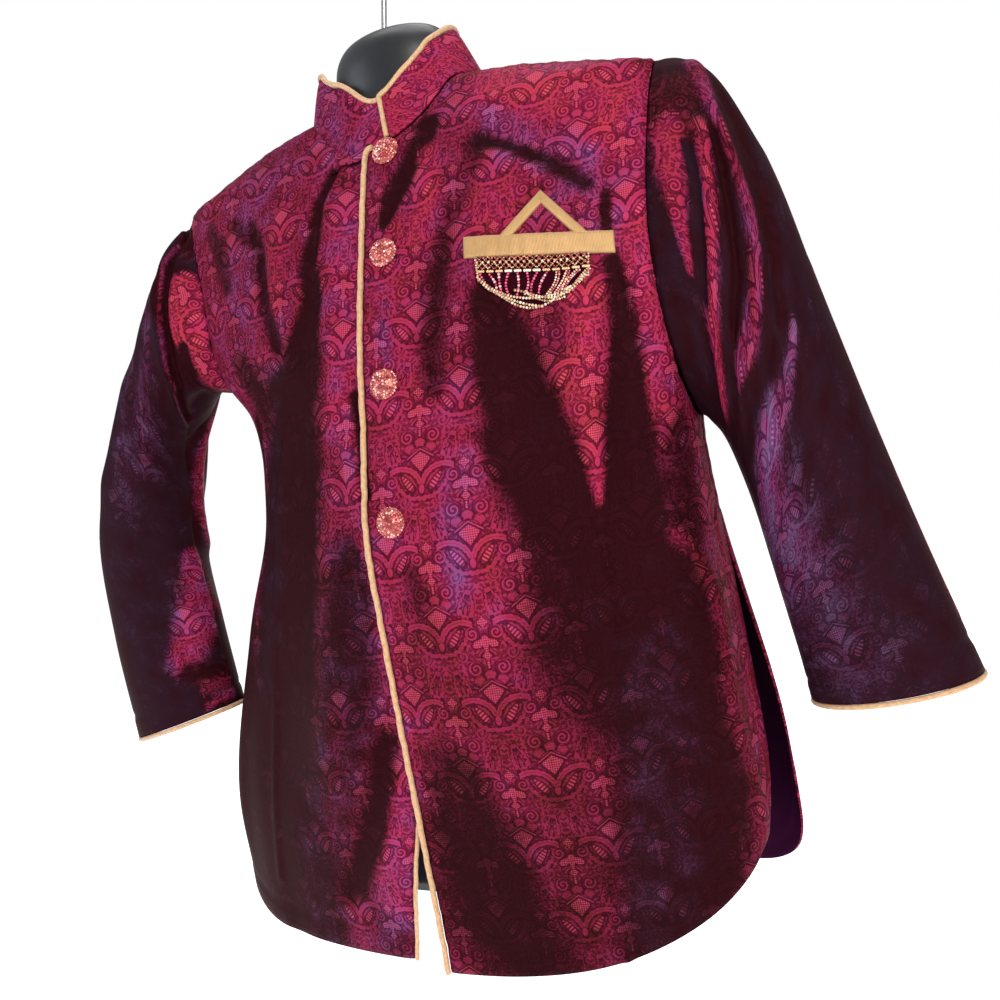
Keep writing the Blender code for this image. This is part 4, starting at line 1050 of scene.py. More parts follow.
def lotus_figure(across, up):
    """The woven figure, charted from a palmette's heart: lotus palmettes in a half drop, cupped by
    leafy arms that curl, with hatched leaves, dotted stars and dotted crosses between them.

    Returns the shares of the plain figure, of the pale hatched figure and of the dark outline.
    """
    across, up = across * STEPS_ACROSS, up * STEPS_UP
    row = ((up + 32) / DROP).whole()
    y = up - row * DROP
    x = across + row * HALF
    a = abs(x - (x / REPEAT + 0.5).whole() * REPEAT)

    def gap(cx, cy):
        """How far a place lies from a centre, and which way."""
        dx, dy = a - cx, y - cy
        return (dx * dx + dy * dy).root(), dx.turn_to(dy)

    def curl(cx, cy, pitch, hand, wide):
        """A spiral about a centre."""
        reach, turn = gap(cx, cy)
        return ((reach * pitch + turn * hand).sin() * 0.9 + 0.1).most(reach - wide)

    def oval(cx, cy, lean, long, wide, taper=0.0):
        """A leaning oval or leaf, and the place along it."""
        c, s = math.cos(math.radians(lean)), math.sin(math.radians(lean))
        p = (a - cx) * (c / long) + (y - cy) * (s / long)
        q = (y - cy) * (c / wide) - (a - cx) * (s / wide)
        if taper:
            q = q * (p * taper + 1)
        return ((p * p + q * q).root() - 1) * min(long, wide), p

    def union(first, *others):
        for other in others:
            first = first.least(other)
        return first

    def fill(shape):
        return shape.rise(0.2, -0.35)

    def outline(shape, half=0.30):
        return (shape - half - 0.15).band(half, 0.35)

    scallop = (a * 1.25 + y * 0.7).sin() * (y * 1.15 - a * 0.6).sin() * 0.7

    # leafy arms that rise from the bud, spread and curl
    bend = gap(15.5, -20.5)[0]
    arm = (abs(bend - 15.5) - 1.9 + scallop * 0.5).most(y * -1 - 16.8).most(a - 23.6)
    vein = (bend - 15.5).band(0.12, 0.3) * arm.rise(0.0, -0.5)
    bud = oval(0.0, -19.8, 90, 3.2, 2.0)[0]
    arms = union(arm, curl(22.4, -13.4, 2.3, -1, 4.6), curl(9.2, 15.4, 2.2, 1, 5.0), bud)

    # the cup under the palmette, the hanging leaves and the crown of petals
    cup = (abs(gap(2.5, -9.5)[0] - 16.6) - 1.4 + scallop).most(y + 9)
    drop = oval(21.6, 6.2, 74, 9.8, 5.2, 0.45)[0]
    leaf = union(abs(drop + 0.9 + scallop) - 0.8, oval(20.6, 2.2, 74, 3.4, 1.0)[0])
    reach, turn = gap(0.0, -1.0)
    lobe = abs((turn * 4.3).cos())
    petals = (abs(reach - lobe * 1.1 - 11.2) - 1.8 - lobe * 0.8).most(turn * 9 - 11.5).most(0.7 - lobe * 1.8)
    cups = union(cup, leaf, petals, curl(13.6, -27.6, 2.2, -1, 4.2))

    # the small leaves of the ground
    leaf_rows = (a * 0.95 + (y * 0.62).sin() * 2.0).sin() * (y * 0.92 + (a * 0.60).sin() * 2.2).sin()
    ground = leaf_rows + scallop * 0.25
    sprig = ground.rise(-0.12, 0.04)

    # pale figures: the palmette's heart and its roof, hatched leaves, stars and crosses
    heart = ((a / 7.6 + y / 5.0).most(a / 7.6 - y / 8.6) - 1) * 4.2
    roof = (abs(y + a * 0.62 - 6.9) * 0.84 - 0.42).most(a - 9.8)
    blade, along = oval(10.4, -15.2, 52, 6.6, 2.1, 0.3)
    side, rise = abs(a - HALF), abs(y + 6.2)
    star = ((side + rise) / 5.0 + side * rise * 0.08 - 1) * 2.6
    cross = union(oval(HALF - 4.8, -20.2, 22, 4.3, 2.5)[0], oval(HALF, -19.2, 90, 4.6, 2.6)[0],
                  (side - 1.2).most(abs(y + 26.0) - 5.5), oval(HALF, -28.4, 0, 3.2, 1.7)[0],
                  (a - 1.0).most(15.0 - y))
    dots = (((a + y) * 2.05).sin() * ((a - y) * 2.05).sin()).rise(0.30, -0.10)
    dotted = fill(union(heart, star, cross) + scallop * 0.3) * (dots * 0.85 + 0.15)
    hatch = dotted.most(fill(roof) * 0.8).most(fill(blade) * (along * 17).sin().rise(-0.5, 0.4))
    pale = union(heart, roof, blade, star, cross)

    on_top, arm_fill, cup_fill = fill(pale - 0.5), fill(arms), fill(cups)
    solid = (arm_fill.most(cup_fill * 0.8).most(sprig * (1 - outline(arms, 0.7)) * 0.75)) * (1 - on_top)
    leaf_rims = (ground + 0.16).band(0.05, 0.09) * (1 - arm_fill.most(cup_fill)) * 0.85
    line = (outline(cups) * (1 - arm_fill)).most(outline(arms)).most(vein * 0.8).most(leaf_rims)
    line = (line * (1 - on_top)).most(outline(pale, 0.34) * 0.9)
    return solid, hatch, line


Weft = namedtuple("Weft", "ground figure sparkle outline")
# The brocade's wefts in painted light (the first two), in painted violet sheen (the next two) and in painted
# shade (the last); the plum on the line below is painted shade too.
CRIMSON = Weft((0.180, 0.010, 0.036), (0.395, 0.025, 0.080), (0.64, 0.068, 0.140), (0.068, 0.0046, 0.022))
RUBY = Weft((0.200, 0.014, 0.028), (0.440, 0.035, 0.064), (0.70, 0.085, 0.125), (0.072, 0.0056, 0.018))
VIOLET = Weft((0.112, 0.020, 0.088), (0.255, 0.056, 0.195), (0.43, 0.115, 0.315), (0.044, 0.0084, 0.044))
LAVENDER_SHEEN = Weft((0.135, 0.058, 0.145), (0.185, 0.086, 0.200), (0.245, 0.125, 0.262), (0.070, 0.029, 0.078))
PAINTED_SHADE_WEFT = Weft((0.020, 0.0032, 0.0048), (0.0235, 0.0036, 0.006), (0.03, 0.0046, 0.0076), (0.0165, 0.0027, 0.004))
PAINTED_SHADE_PLUM, ROSE_GLOSS = (0.0190, 0.0072, 0.0130), (0.75, 0.22, 0.34)


def shot_brocade():
    """Crimson shot silk; the drapes lay painted highlight on it, painted shade where it leans away, and
    painted purple sheen.
    """
    dye = Dye("shot_brocade", 0.4, Metallic=0.10, Specular_IOR_Level=0.03, Specular_Tint=(*ROSE_GLOSS, 1))
    across, up = dye.flat()
    solid, hatch, line = lotus_figure(across, up)
    weave = dye.noise(dye.vector(across * 2.4, up * 0.7))
    fray = dye.noise(dye.vector(across * 0.28, up * 1.5))
    cloud = dye.noise(dye.vector(across, up), 0.060, 4.0)
    # The drapes' painted highlight and painted shade, stirred by the figure, the weave and clouds; bright is
    # how far the cloth takes its painted-light colours.
    lean = (dye.mark("shine") + hatch * 0.10 + solid * 0.04 - line * 0.08 + (weave - 0.5) * 0.46
            + (fray - 0.5) * 0.42 + (cloud - 0.5) * 0.58)
    bright = lean.rise(0.16, 0.98)

    def woven(weft):
        figured = dye.blend(dye.blend(weft.ground, weft.figure, solid), weft.outline, line * 0.86)
        return dye.blend(figured, weft.sparkle, hatch * 0.70)

    # The drapes' painted violet sheen, in clouds.
    tint = dye.mark("violet") + (cloud - 0.5) * 1.7 + (weave - 0.5) * 0.5
    cool = tint.rise(0.20, 1.15)
    crimson = dye.blend(woven(CRIMSON), woven(RUBY), (tint * -1).rise(-0.30, 0.15))
    violet = dye.blend(woven(VIOLET), woven(LAVENDER_SHEEN), tint.rise(0.85, 1.30))
    # Where bright is low the cloth takes near-black colours: painted shade.
    painted_shade = dye.blend(woven(PAINTED_SHADE_WEFT), PAINTED_SHADE_PLUM, cool * 0.9)
    silk = dye.blend(painted_shade, dye.blend(crimson, violet, cool), bright)
    return dye.finish(silk, 0.54 - bright * 0.14 - hatch * 0.05, weave + cloud * 0.4, 0.0002, 0.35)


def lining_satin():
    dye = Dye("lining_satin", 0.6, Specular_IOR_Level=0.0)
    across, up = dye.flat()
    weave = dye.noise(dye.vector(across * 0.5, up * 3.0), detail=2.0)
    colour = dye.blend((0.018, 0.003, 0.014), (0.040, 0.006, 0.030), weave)
    return dye.finish(colour, 0.58 + weave * 0.1, weave, 0.0002, 0.3)


def painted_shade_net():
    """Dark wine net behind the beads: painted shade of the coat between the strands."""
    dye = Dye("painted_shade_net", 0.8, Specular_IOR_Level=0.0)
    across, up = dye.flat()
    holes = ((across + up) * 5.2).sin() * ((across - up) * 5.2).sin()
    colour = dye.blend((0.012, 0.0012, 0.003), (0.045, 0.004, 0.012), holes.rise(-0.2, 0.3))
    return dye.finish(colour, None, holes, 0.0001, 0.3)


def ribbed_satin():
    """Gold satin of the pocket's band and peak, with fine ribs 0.75 mm apart."""
    dye = Dye("band_gold", 0.42, Metallic=0.25, Sheen_Weight=0.15)
    across, up = dye.flat()
    ribs = (across * (math.tau / 0.75) + up * 0.35).sin() * 0.5 + 0.5
    slub = dye.noise(dye.vector(across * 1.6, up * 0.3))
    cloud = dye.noise(dye.vector(across, up), 0.09, 2.0)
    tone = (ribs * 0.35 + slub * 0.5 + cloud * 0.5).rise(0.2, 1.05)
    colour = dye.blend((0.34, 0.185, 0.064), (0.58, 0.35, 0.14), tone)
    return dye.finish(colour, 0.50 - tone * 0.12, ribs + slub, 0.00025, 0.35)


def piping_satin():
    """Bias-cut satin over a cord, with the slant of its weave 0.9 mm apart."""
    dye = Dye("piping_satin", 0.45, Metallic=0.12, Sheen_Weight=0.25)
    across, up = dye.flat()
    slant = ((across + up * 0.9) * (math.tau / 0.9)).sin() * 0.5 + 0.5
    cloud = dye.noise(dye.vector(across * 0.6, up * 0.35))
    tone = (slant * 0.35 + cloud).rise(0.25, 1.0)
    colour = dye.blend((0.42, 0.215, 0.095), (0.74, 0.46, 0.245), tone)
    return dye.finish(colour, None, slant + cloud, 0.00025, 0.4)


def stone_finish(name, deep, mid, pale, metallic, roughness):
    """Small cut stones, each of its own tint."""
    dye = Dye(name, roughness, Metallic=metallic, Coat_Weight=0.6, Coat_Roughness=0.05)
    share = dye.mark("stone")
    speck = dye.noise(dye.spot(), 900.0, 1.0)
    colour = dye.blend(dye.blend(deep, mid, share.rise(0.0, 0.6)), pale, share.rise(0.62, 1.0))
    return dye.finish(dye.blend(colour, mid, speck * 0.3), roughness + speck * 0.1)


def black_plastic():
    dye = Dye("black_plastic", 0.34, Coat_Weight=0.15, Coat_Roughness=0.3)
    grain = dye.noise(dye.spot(), 420.0, 2.0)
    cloud = dye.noise(dye.spot(), 14.0)
    colour = dye.blend((0.010, 0.011, 0.013), (0.022, 0.023, 0.027), cloud.rise(0.35, 0.7))
    return dye.finish(colour, 0.30 + cloud * 0.12, grain, 0.0002, 0.12)


def steel_wire():
    dye = Dye("steel_wire", 0.28, Metallic=1.0)
    across, up = dye.flat()
    draw = dye.noise(dye.vector(across * 5.0, up * 0.12))
    colour = dye.blend((0.36, 0.36, 0.37), (0.62, 0.62, 0.63), draw)
    return dye.finish(colour, 0.22 + draw * 0.16, draw, 0.0001, 0.2)


def pale_backdrop():
    dye = Dye("pale_backdrop", 0.9, Emission_Strength=0.72, Emission_Color=(1, 1, 1, 1))
    cloud = dye.noise(dye.spot(), 3.0, 2.0)
    return dye.finish(dye.blend((0.80, 0.80, 0.80), (0.83, 0.83, 0.83), cloud))


# the deep, middle and pale tints, the metal's share and the roughness
STONES = {
    "rose_stones": ((0.20, 0.012, 0.02), (0.66, 0.145, 0.125), (1.0, 0.62, 0.50), 0.45, 0.16),
    "seed_beads": ((0.40, 0.015, 0.06), (0.78, 0.10, 0.22), (1.0, 0.72, 0.62), 0.2, 0.2),
    "gold_beads": ((0.30, 0.10, 0.05), (0.80, 0.50, 0.27), (1.0, 0.86, 0.62), 0.5, 0.2),
    "swag_stones": ((0.30, 0.13, 0.07), (0.74, 0.50, 0.32), (1.0, 0.88, 0.70), 0.35, 0.2),
}
brocade = shot_brocade()
lining = lining_satin()
band_gold = ribbed_satin()
piping_gold = piping_satin()
stones = [stone_finish(name, *looks) for name, looks in STONES.items()]
rose_stones, seed_beads, gold_beads, swag_stones = stones
form_plastic = black_plastic()
hook_steel = steel_wire()


# ---- fronts, back and their edges ----

SEAM_SINK, SEAM_WIDE, PUCKER, PUCKER_WIDE = 0.0009, 0.0026, 0.00045, 0.009
NECK_SINK, EDGE_SINK = 0.0006, 0.0004
HEM_THICK, HEM_TALL, HEM_SOFT, STITCH_SINK, STITCH_WIDE = 0.0004, 0.0140, 0.0040, 0.0007, 0.0013
VENT_STITCHED = 0.012       # the vent's hem ends this far below its top
EDGE_SHARE = mix(SKIRT_SHARE, 1, FRONT_NECK_SHARE)      # share of a front's rows along its piped edge
TURN_IN = 0.0035            # the bend of the lapping edge's piping at its top


def seam_dip(gap, along, depth=SEAM_SINK):
    """Cloth drawn in at a seam, with small puckers that fade away from it."""
    pucker = np.sin(along / 0.0021) * np.sin(along / 0.0057 + 1.3)
    return -depth * near(gap, SEAM_WIDE) + PUCKER * pucker * near(gap, PUCKER_WIDE)


def turned_hem(gap):
    """A double-turned hem: thicker up to its stitching, which sinks in."""
    thick = HEM_THICK * (1 - ease(HEM_TALL - HEM_SOFT, HEM_TALL, gap))
    return thick - STITCH_SINK * near(gap - HEM_TALL, STITCH_WIDE)


def panel(name, path, middle, drapes, free_column=None, out=0.0):
    """One front or the back, from its grid of (angle, height); only the fronts have a free column."""
    angle, height = path[..., 0], path[..., 1]
    flat = flat_body(angle, height, middle)
    lift, shine, violet = drape(flat, drapes, FRONT_PAINTED_LIGHT, FRONT_VIOLET)
    if free_column is not None:
        lift = lift * calm(flat) + seam_dip(gap_to(flat, flat[:, free_column]), flat[..., 1], EDGE_SINK)
    low = [flat[0]]
    for column in (0, -1):
        if column != free_column:
            low.append(flat[height[:, column] < VENT_TOP - VENT_STITCHED, column])
            seam = flat[height[:, column] >= VENT_TOP, column]
            lift = lift + seam_dip(gap_to(flat, seam), flat[..., 1])
    lift = lift + turned_hem(gap_to(flat, np.concatenate(low)))
    lift = lift + seam_dip(gap_to(flat, flat[-1]), flat[..., 0], NECK_SINK)
    points = skin(angle, height, lift + out)
    return cut_cloth(name, points, flat, shine, violet), points


def free_edge(points, side, radius):
    """The piping's path beside a front's free edge."""
    rows = points[: int(round(EDGE_SHARE * (len(points) - 1))) + 1, ::side]
    edge, inner = rows[:, 0], rows[:, 1]
    away = unit(edge - inner)
    inwards = unit(np.cross(np.gradient(edge, axis=0), away)) * side
    return edge + away * (radius + SEAM) + inwards * (CLOTH / 2)


def turned_in(path, heights):
    """Bends the lapping edge's piping in at its top, over the cloth to the first button."""
    top = heights[-1]
    bend = steps(8)[1:] * math.pi / 2
    start = lap_edge(top) - PIPING - SEAM
    across = np.append(start + TURN_IN * (1 - np.cos(bend)), BUTTONS[0].across - BUTTON)
    height = np.append(top - TURN_IN * (1 - np.sin(bend)), top)
    out = mix(-CLOTH / 2, PIPING, steps(len(across) - 1))
    return np.concatenate([path[heights < top - TURN_IN], on_front(across, height, out)])


left_path = front_paths(1, lap_edge, steps(117), steps(182))
left_front, left_points = panel("left_front", left_path, 0.0, FRONT_DRAPES, 0)
right_path = front_paths(-1, under_edge, steps(84), steps(182))[:, ::-1] * np.array((-1, 1))
right_across = half_width(right_path[..., 0], right_path[..., 1]) * np.sin(right_path[..., 0])
under = UNDER_DEPTH * ease(*UNDER_REACH, -right_across)
right_front, right_points = panel("right_front", right_path, 0.0, FRONT_DRAPES, -1, -under)
back = panel("back", back_paths(steps(132), steps(156)), math.pi, BACK_DRAPES)[0]

left_edge = free_edge(left_points, 1, PIPING)
left_edge = turned_in(left_edge, left_path[: len(left_edge), 0, 1])
left_piping = piping("left_front_piping", left_edge, PIPING)
right_edge = free_edge(right_points, -1, UNDER_PIPING)
right_piping = piping("right_front_piping", right_edge, UNDER_PIPING)


# ---- sleeves ----

CAP_FADE = 0.7              # a sleeve's creases begin over this share of its first row of cuts
CUFF_ROWS = 6               # rows that show which way a cuff faces


def sleeve(side, name, drapes):
    """A sleeve and the piping of its cuff."""
    columns, rows = 144, 150
    base = sleeve_base(side, columns, rows)
    flat = flat_grid(base)
    lift, shine, violet = drape(flat, drapes, SLEEVE_PAINTED_LIGHT, SLEEVE_VIOLET)
    faded = np.minimum(1, CUFF_ROW * (1 - steps(rows)) / CAP_FADE)[:, None]
    lift = lift * faded + seam_dip(gap_to(flat, flat[-1]), flat[..., 0]) + turned_hem(gap_to(flat, flat[0]))
    around = np.gradient(base, axis=1)
    around[:, 0] = around[:, -1] = base[:, 1] - base[:, -2]
    normal = unit(np.cross(around, np.gradient(base, axis=0)))
    points = base + normal * lift[..., None]
    points[:, -1] = points[:, 0]
    piece = cut_cloth(name, points, flat, shine, violet, closed=True)
    cuff, centre = points[0, :-1], points[0].mean(0)
    down = unit(centre - points[CUFF_ROWS].mean(0))
    ring = cuff + unit(centre - cuff) * (CLOTH / 2) + down * (CUFF_PIPING + SEAM)
    return piece, piping(name + "_piping", ring, CUFF_PIPING, closed=True)


mirrored_backs = [row._replace(path=[(-x, y, half) for x, y, half in row.path]) for row in SLEEVE_BACKS]
left_sleeve, left_cuff = sleeve(1, "left_sleeve", SLEEVE_BACKS + LEFT_SLEEVE_DRAPES)
right_sleeve, right_cuff = sleeve(-1, "right_sleeve", mirrored_backs + RIGHT_SLEEVE_DRAPES)


# ---- collar ----

LAP_SINK = 0.0052           # the collar's foot goes this much lower beside its right end
LAP_IN, LAP_OUT = (math.tau - 1.5, math.tau - 0.9), (math.tau + 0.2, math.tau + 0.6)
WAVE, STITCH_FROM_RIM, STITCH_REACH = 0.0005, 0.0018, 0.0012
SHADE_TURN, SHADE_REACH = 5.7, 0.8      # where the collar's right end is in shade
LIGHT, SHADE, COOL, COOL_SHADE = 1.08, 0.42, 0.25, 0.35
turns, up = mix(*COLLAR_ENDS, steps(216)), steps(18)[:, None]
under_lap = ease(*LAP_IN, turns) * (1 - ease(*LAP_OUT, turns))
rises = COLLAR_HEIGHT * up - LAP_SINK * under_lap * (1 - up) ** 2
wave = np.sin(turns * 5 + 0.6) * WAVE * np.sin(math.pi * up)
edge_sink = -WAVE * near(COLLAR_HEIGHT - rises - STITCH_FROM_RIM, STITCH_REACH)
# The collar's colour carries painted light, with painted shade and more painted violet sheen at its right
# end.
shaded_end = near(turns - SHADE_TURN, SHADE_REACH) + 0 * rises
collar_shine, collar_violet = LIGHT - SHADE * shaded_end, COOL + COOL_SHADE * shaded_end
collar = cut_cloth("collar", collar_points(turns, rises, wave + edge_sink),
                   flat_grid(collar_points(turns, rises)), collar_shine, collar_violet, COLLAR_WALL)
above_rim = PIPING + SEAM
end = collar_points(COLLAR_ENDS[0], np.linspace(0.002, COLLAR_HEIGHT + above_rim, 9), -COLLAR_WALL / 2)
end[:, 0] -= above_rim
rim = collar_points(turns[3:], COLLAR_HEIGHT + above_rim, -COLLAR_WALL / 2)
rim[:, 2] = collar_points(turns[3:], COLLAR_HEIGHT)[:, 2] + above_rim
collar_piping = piping("collar_piping", smooth_path(np.concatenate([end, rim]), 300), PIPING)


# ---- pocket band and peak ----

BAND_LONG = POCKET_FAR - POCKET_NEAR
END_THIN, END_REACH, RIPPLE = 0.35, 0.012, 0.00018
MITRE_THIN, MITRE_REACH, PEAK_FOOT = 0.45, 0.02, 0.0012


def pillow(v, power):
    """Thickness across a padded strip, as a share."""
    return (1 - np.abs(2 * v - 1) ** power)[:, None] ** 0.5


u, v = steps(96), steps(20)
rounded = pillow(v, 8) * (1 - END_THIN * near(np.minimum(u, 1 - u), END_REACH))
ripple = RIPPLE * np.sin(u * 61) * np.sin(u * 17 + 1)
band_points = pocket_points(u * BAND_LONG, ((v - 0.5) * POCKET_TALL)[:, None], SEAM + TRIM * rounded + ripple)
pocket_band = gold_strip("pocket_band", band_points, pair(u * BAND_LONG, (v * POCKET_TALL)[:, None]))

u, v = steps(60), steps(8)
side = 2 * u - 1
crown = PEAK_RISE - PEAK_STRIP * math.sqrt(2) * (1 - v)[:, None]
padded = SEAM + TRIM * pillow(v, 6) * (1 - MITRE_THIN * near(side, MITRE_REACH))
along_peak = BAND_LONG / 2 + PEAK_SHIFT + side * (crown * PEAK_HALF / PEAK_RISE)
up_peak = POCKET_TALL / 2 - PEAK_FOOT + crown * (1 - np.abs(side))
peak_points = pocket_points(along_peak, up_peak, padded)
pocket_peak = gold_strip("pocket_peak", peak_points, flat_grid(peak_points))


# ---- brooch: a beaded net under the band, hanging strands and swags ----

BEAD = 0.00074
ROW_TALL, CELLS = 0.0034, 9
LIFT_AT_END, LIFT_FROM = 0.0030, 0.45       # how far the net climbs, and from where along it
NET_GAP, STRAND_LIFT, SWAG_LIFT = 0.0002, 0.0012, 0.0020
MESH_HALF, MESH_BEAD, MESH_LIFT, MESH_CROSS = 0.98, BEAD * 0.82, 0.0010, 0.0006
CUPS_HALF, CUP = 0.96, BEAD * 1.1
CLUSTERS, CLUSTER_GAP, CLUSTER_DROP, CLUSTER_LIFT = (-0.90, 0.94), 0.030, 0.0012, 0.0018
STRAND_TOPS, STRAND_FEET, STRAND_START = (-0.92, 0.95), (-0.80, 0.62), 0.0026
STRAND_SHARE, STRAND_LONGEST, STRAND_BOW = 0.86, 0.0215, 0.06
BIG_BEAD, SEED, GOLD_BEAD, FINE_BEAD = BEAD * 1.25, BEAD * 1.2, BEAD * 1.05, BEAD * 0.9
STRANDS, SEED_STRANDS = 12, 8      # the last strands are gold, beside finer seed beads
BRIGHT_CUPS = 3, 4, 5, 6
NET_WIDE, NET_TALL, NET_LIFT, NET_THICK = 0.97, 0.88, 0.0005, 0.0004
luck = random.Random(7)


def brooch_spot(across, drop, out):
    """A point of the brooch: across from -1 to 1, drop in metres under the band."""
    along = mix(BROOCH_NEAR, BROOCH_FAR, (across + 1) / 2) - POCKET_NEAR
    return pocket_points(along, -POCKET_TALL / 2 - SEAM - drop, out)


def brooch_depth(across):
    return mix(BROOCH_END, BROOCH_DROP, math.sqrt(max(0.0, 1 - across * across)))


def sweep_up(across):
    """The beaded net climbs to the band at its far end."""
    return LIFT_AT_END * max(0.0, across - LIFT_FROM) ** 1.5


def cells(half):
    """Places across the beaded net, two to a cell."""
    return [mix(-half, half, k / (2 * CELLS)) for k in range(2 * CELLS + 1)]


def string_of(path, radius, low, high, spacing=1.9, lift=STRAND_LIFT):
    """Beads threaded along a path of (across, drop) points."""
    ground = np.array([brooch_spot(across, drop, SEAM + lift) for across, drop in path])
    run = length_along(ground, 0)
    where = np.arange(0, run[-1], radius * spacing)
    line = np.stack([np.interp(where, run, ground[:, axis]) for axis in range(3)], -1)
    return [(spot, radius * luck.uniform(0.9, 1.08), luck.uniform(low, high)) for spot in line]


def swag(begin, begin_drop, finish, finish_drop, sag, lean, size):
    """Beads on a hanging loop."""
    path = []
    for share in steps(24):
        bend = math.sin(math.pi * share ** (1 + lean))
        path.append((mix(begin, finish, share), mix(begin_drop, finish_drop, share) + sag * bend))
    return string_of(path, BEAD * size, 0.0, 1.0, lift=SWAG_LIFT)


across_net = 2 * steps(40) - 1
net_drops = np.array([brooch_depth(across) for across in across_net]) * NET_TALL
net = brooch_spot(across_net * NET_WIDE, (1 - steps(10))[:, None] * net_drops, SEAM + NET_LIFT)
# The net's dark colour is painted shade of the coat between the strands.
brooch_shade_net = show("brooch_shade_net", lay(net, flat_grid(net)), "beadwork", painted_shade_net(), nodes=["brooch"])
line_cloth(brooch_shade_net, NET_THICK)

mesh_beads, cups, strands, swags = [], [], [], []
for row in range(2):
    for hand in (0, 1):
        drops = [ROW_TALL * (row + (k + hand) % 2) - NET_GAP for k in range(2 * CELLS + 1)]
        zigzag = [(across, drop - sweep_up(across)) for across, drop in zip(cells(MESH_HALF), drops)]
        made = string_of(zigzag, MESH_BEAD, 0.0, 0.75, 2.0, MESH_LIFT + MESH_CROSS * hand)
        (cups if hand == row else mesh_beads).extend(made)
for across in cells(CUPS_HALF):
    spot = brooch_spot(across, ROW_TALL - NET_GAP - sweep_up(across), SEAM + SWAG_LIFT)
    cups.append((spot, CUP, luck.uniform(0.4, 1.0)))
for k in range(STRANDS):
    across = mix(*CLUSTERS, k / (STRANDS - 1))
    bright = 1.0 if k in BRIGHT_CUPS else luck.uniform(0.35, 0.8)
    for j in (-1.5, -0.5, 0.5, 1.5):
        drop = ROW_TALL * 2 + CLUSTER_DROP - sweep_up(across)
        spot = brooch_spot(across + j * CLUSTER_GAP, drop, SEAM + CLUSTER_LIFT)
        (swags if bright == 1.0 else cups).append((spot, BIG_BEAD, bright))
for k in range(STRANDS):
    top, low = mix(*STRAND_TOPS, k / (STRANDS - 1)), mix(*STRAND_FEET, k / (STRANDS - 1))
    reach = min(brooch_depth(low) * STRAND_SHARE, STRAND_LONGEST)
    begin = ROW_TALL * 2 + STRAND_START - sweep_up(top)
    bow = STRAND_BOW * math.sin(k * 1.7)
    path = [(mix(top, low, s) + bow * math.sin(math.pi * s), mix(begin, reach, s)) for s in steps(6)]
    if k < SEED_STRANDS:
        strands += string_of(path, SEED, 0.0, 1.0)
    else:
        cups += string_of(path, GOLD_BEAD, 0.3, 1.0)
        strands += string_of([(across + 0.05, drop) for across, drop in path], FINE_BEAD, 0.2, 1.0)
for hand in (-1, 1):
    swags += string_of([(hand * mix(1.0, 0.96, s), 0.0125 * s) for s in steps(6)], CUP, 0.0, 0.8)
for hung in (       # begin, begin_drop, finish, finish_drop, sag, lean, size
    (-0.97, 0.0110, 0.45, 0.0215, 0.0062, -0.15, 1.25),
    (-0.30, 0.0185, 0.96, 0.0110, 0.0088, 0.25, 1.25),
    (-0.72, 0.0175, 0.66, 0.0180, 0.0104, 0.0, 1.25),
    (-0.62, 0.0198, 0.20, 0.0278, 0.0014, 0.0, 1.25),
    (-0.14, 0.0195, 0.58, 0.0232, 0.0034, 0.0, 1.0),
    (-0.95, 0.0125, -0.52, 0.0200, 0.0016, 0.0, 1.3),
    (0.56, 0.0195, 0.95, 0.0100, 0.0016, 0.0, 1.2),
):
    swags += swag(*hung)
for name, beads, finish in (("mesh", mesh_beads, rose_stones), ("cups", cups, gold_beads),
                            ("strands", strands, seed_beads), ("swags", swags, swag_stones)):
    show("brooch_" + name, strew(beads), "beadwork", finish)


# ---- buttons ----

STONE_RINGS = ((0, 1), (14, 6), (27, 12), (40, 18), (53, 23), (67, 27), (81, 30))    # lean in degrees, count
STONE_TINTS = (0.0, 0.2, 0.35, 0.5, 0.6, 0.7, 0.85, 1.0)
STONE_SIZES, STONE_LEAN = (0.00078, 0.00098), 0.22      # radius, and how far a face may tip, as a share
STONES_OUT, STONES_UP, STONES_FLAT = 0.93, 0.86, 1.3    # where they sit in the dome, and how far they face up
DOME = ((0.0, 0.84), (0.42, 0.76), (0.76, 0.48), (0.94, 0.14), (0.90, 0.0), (0.0, 0.0))   # shares out and up


def standing(spot, up):
    """A turn and a place that stand a shape on a spot."""
    return Matrix.Translation(spot) @ up.to_track_quat("Z", "Y").to_matrix().to_4x4()


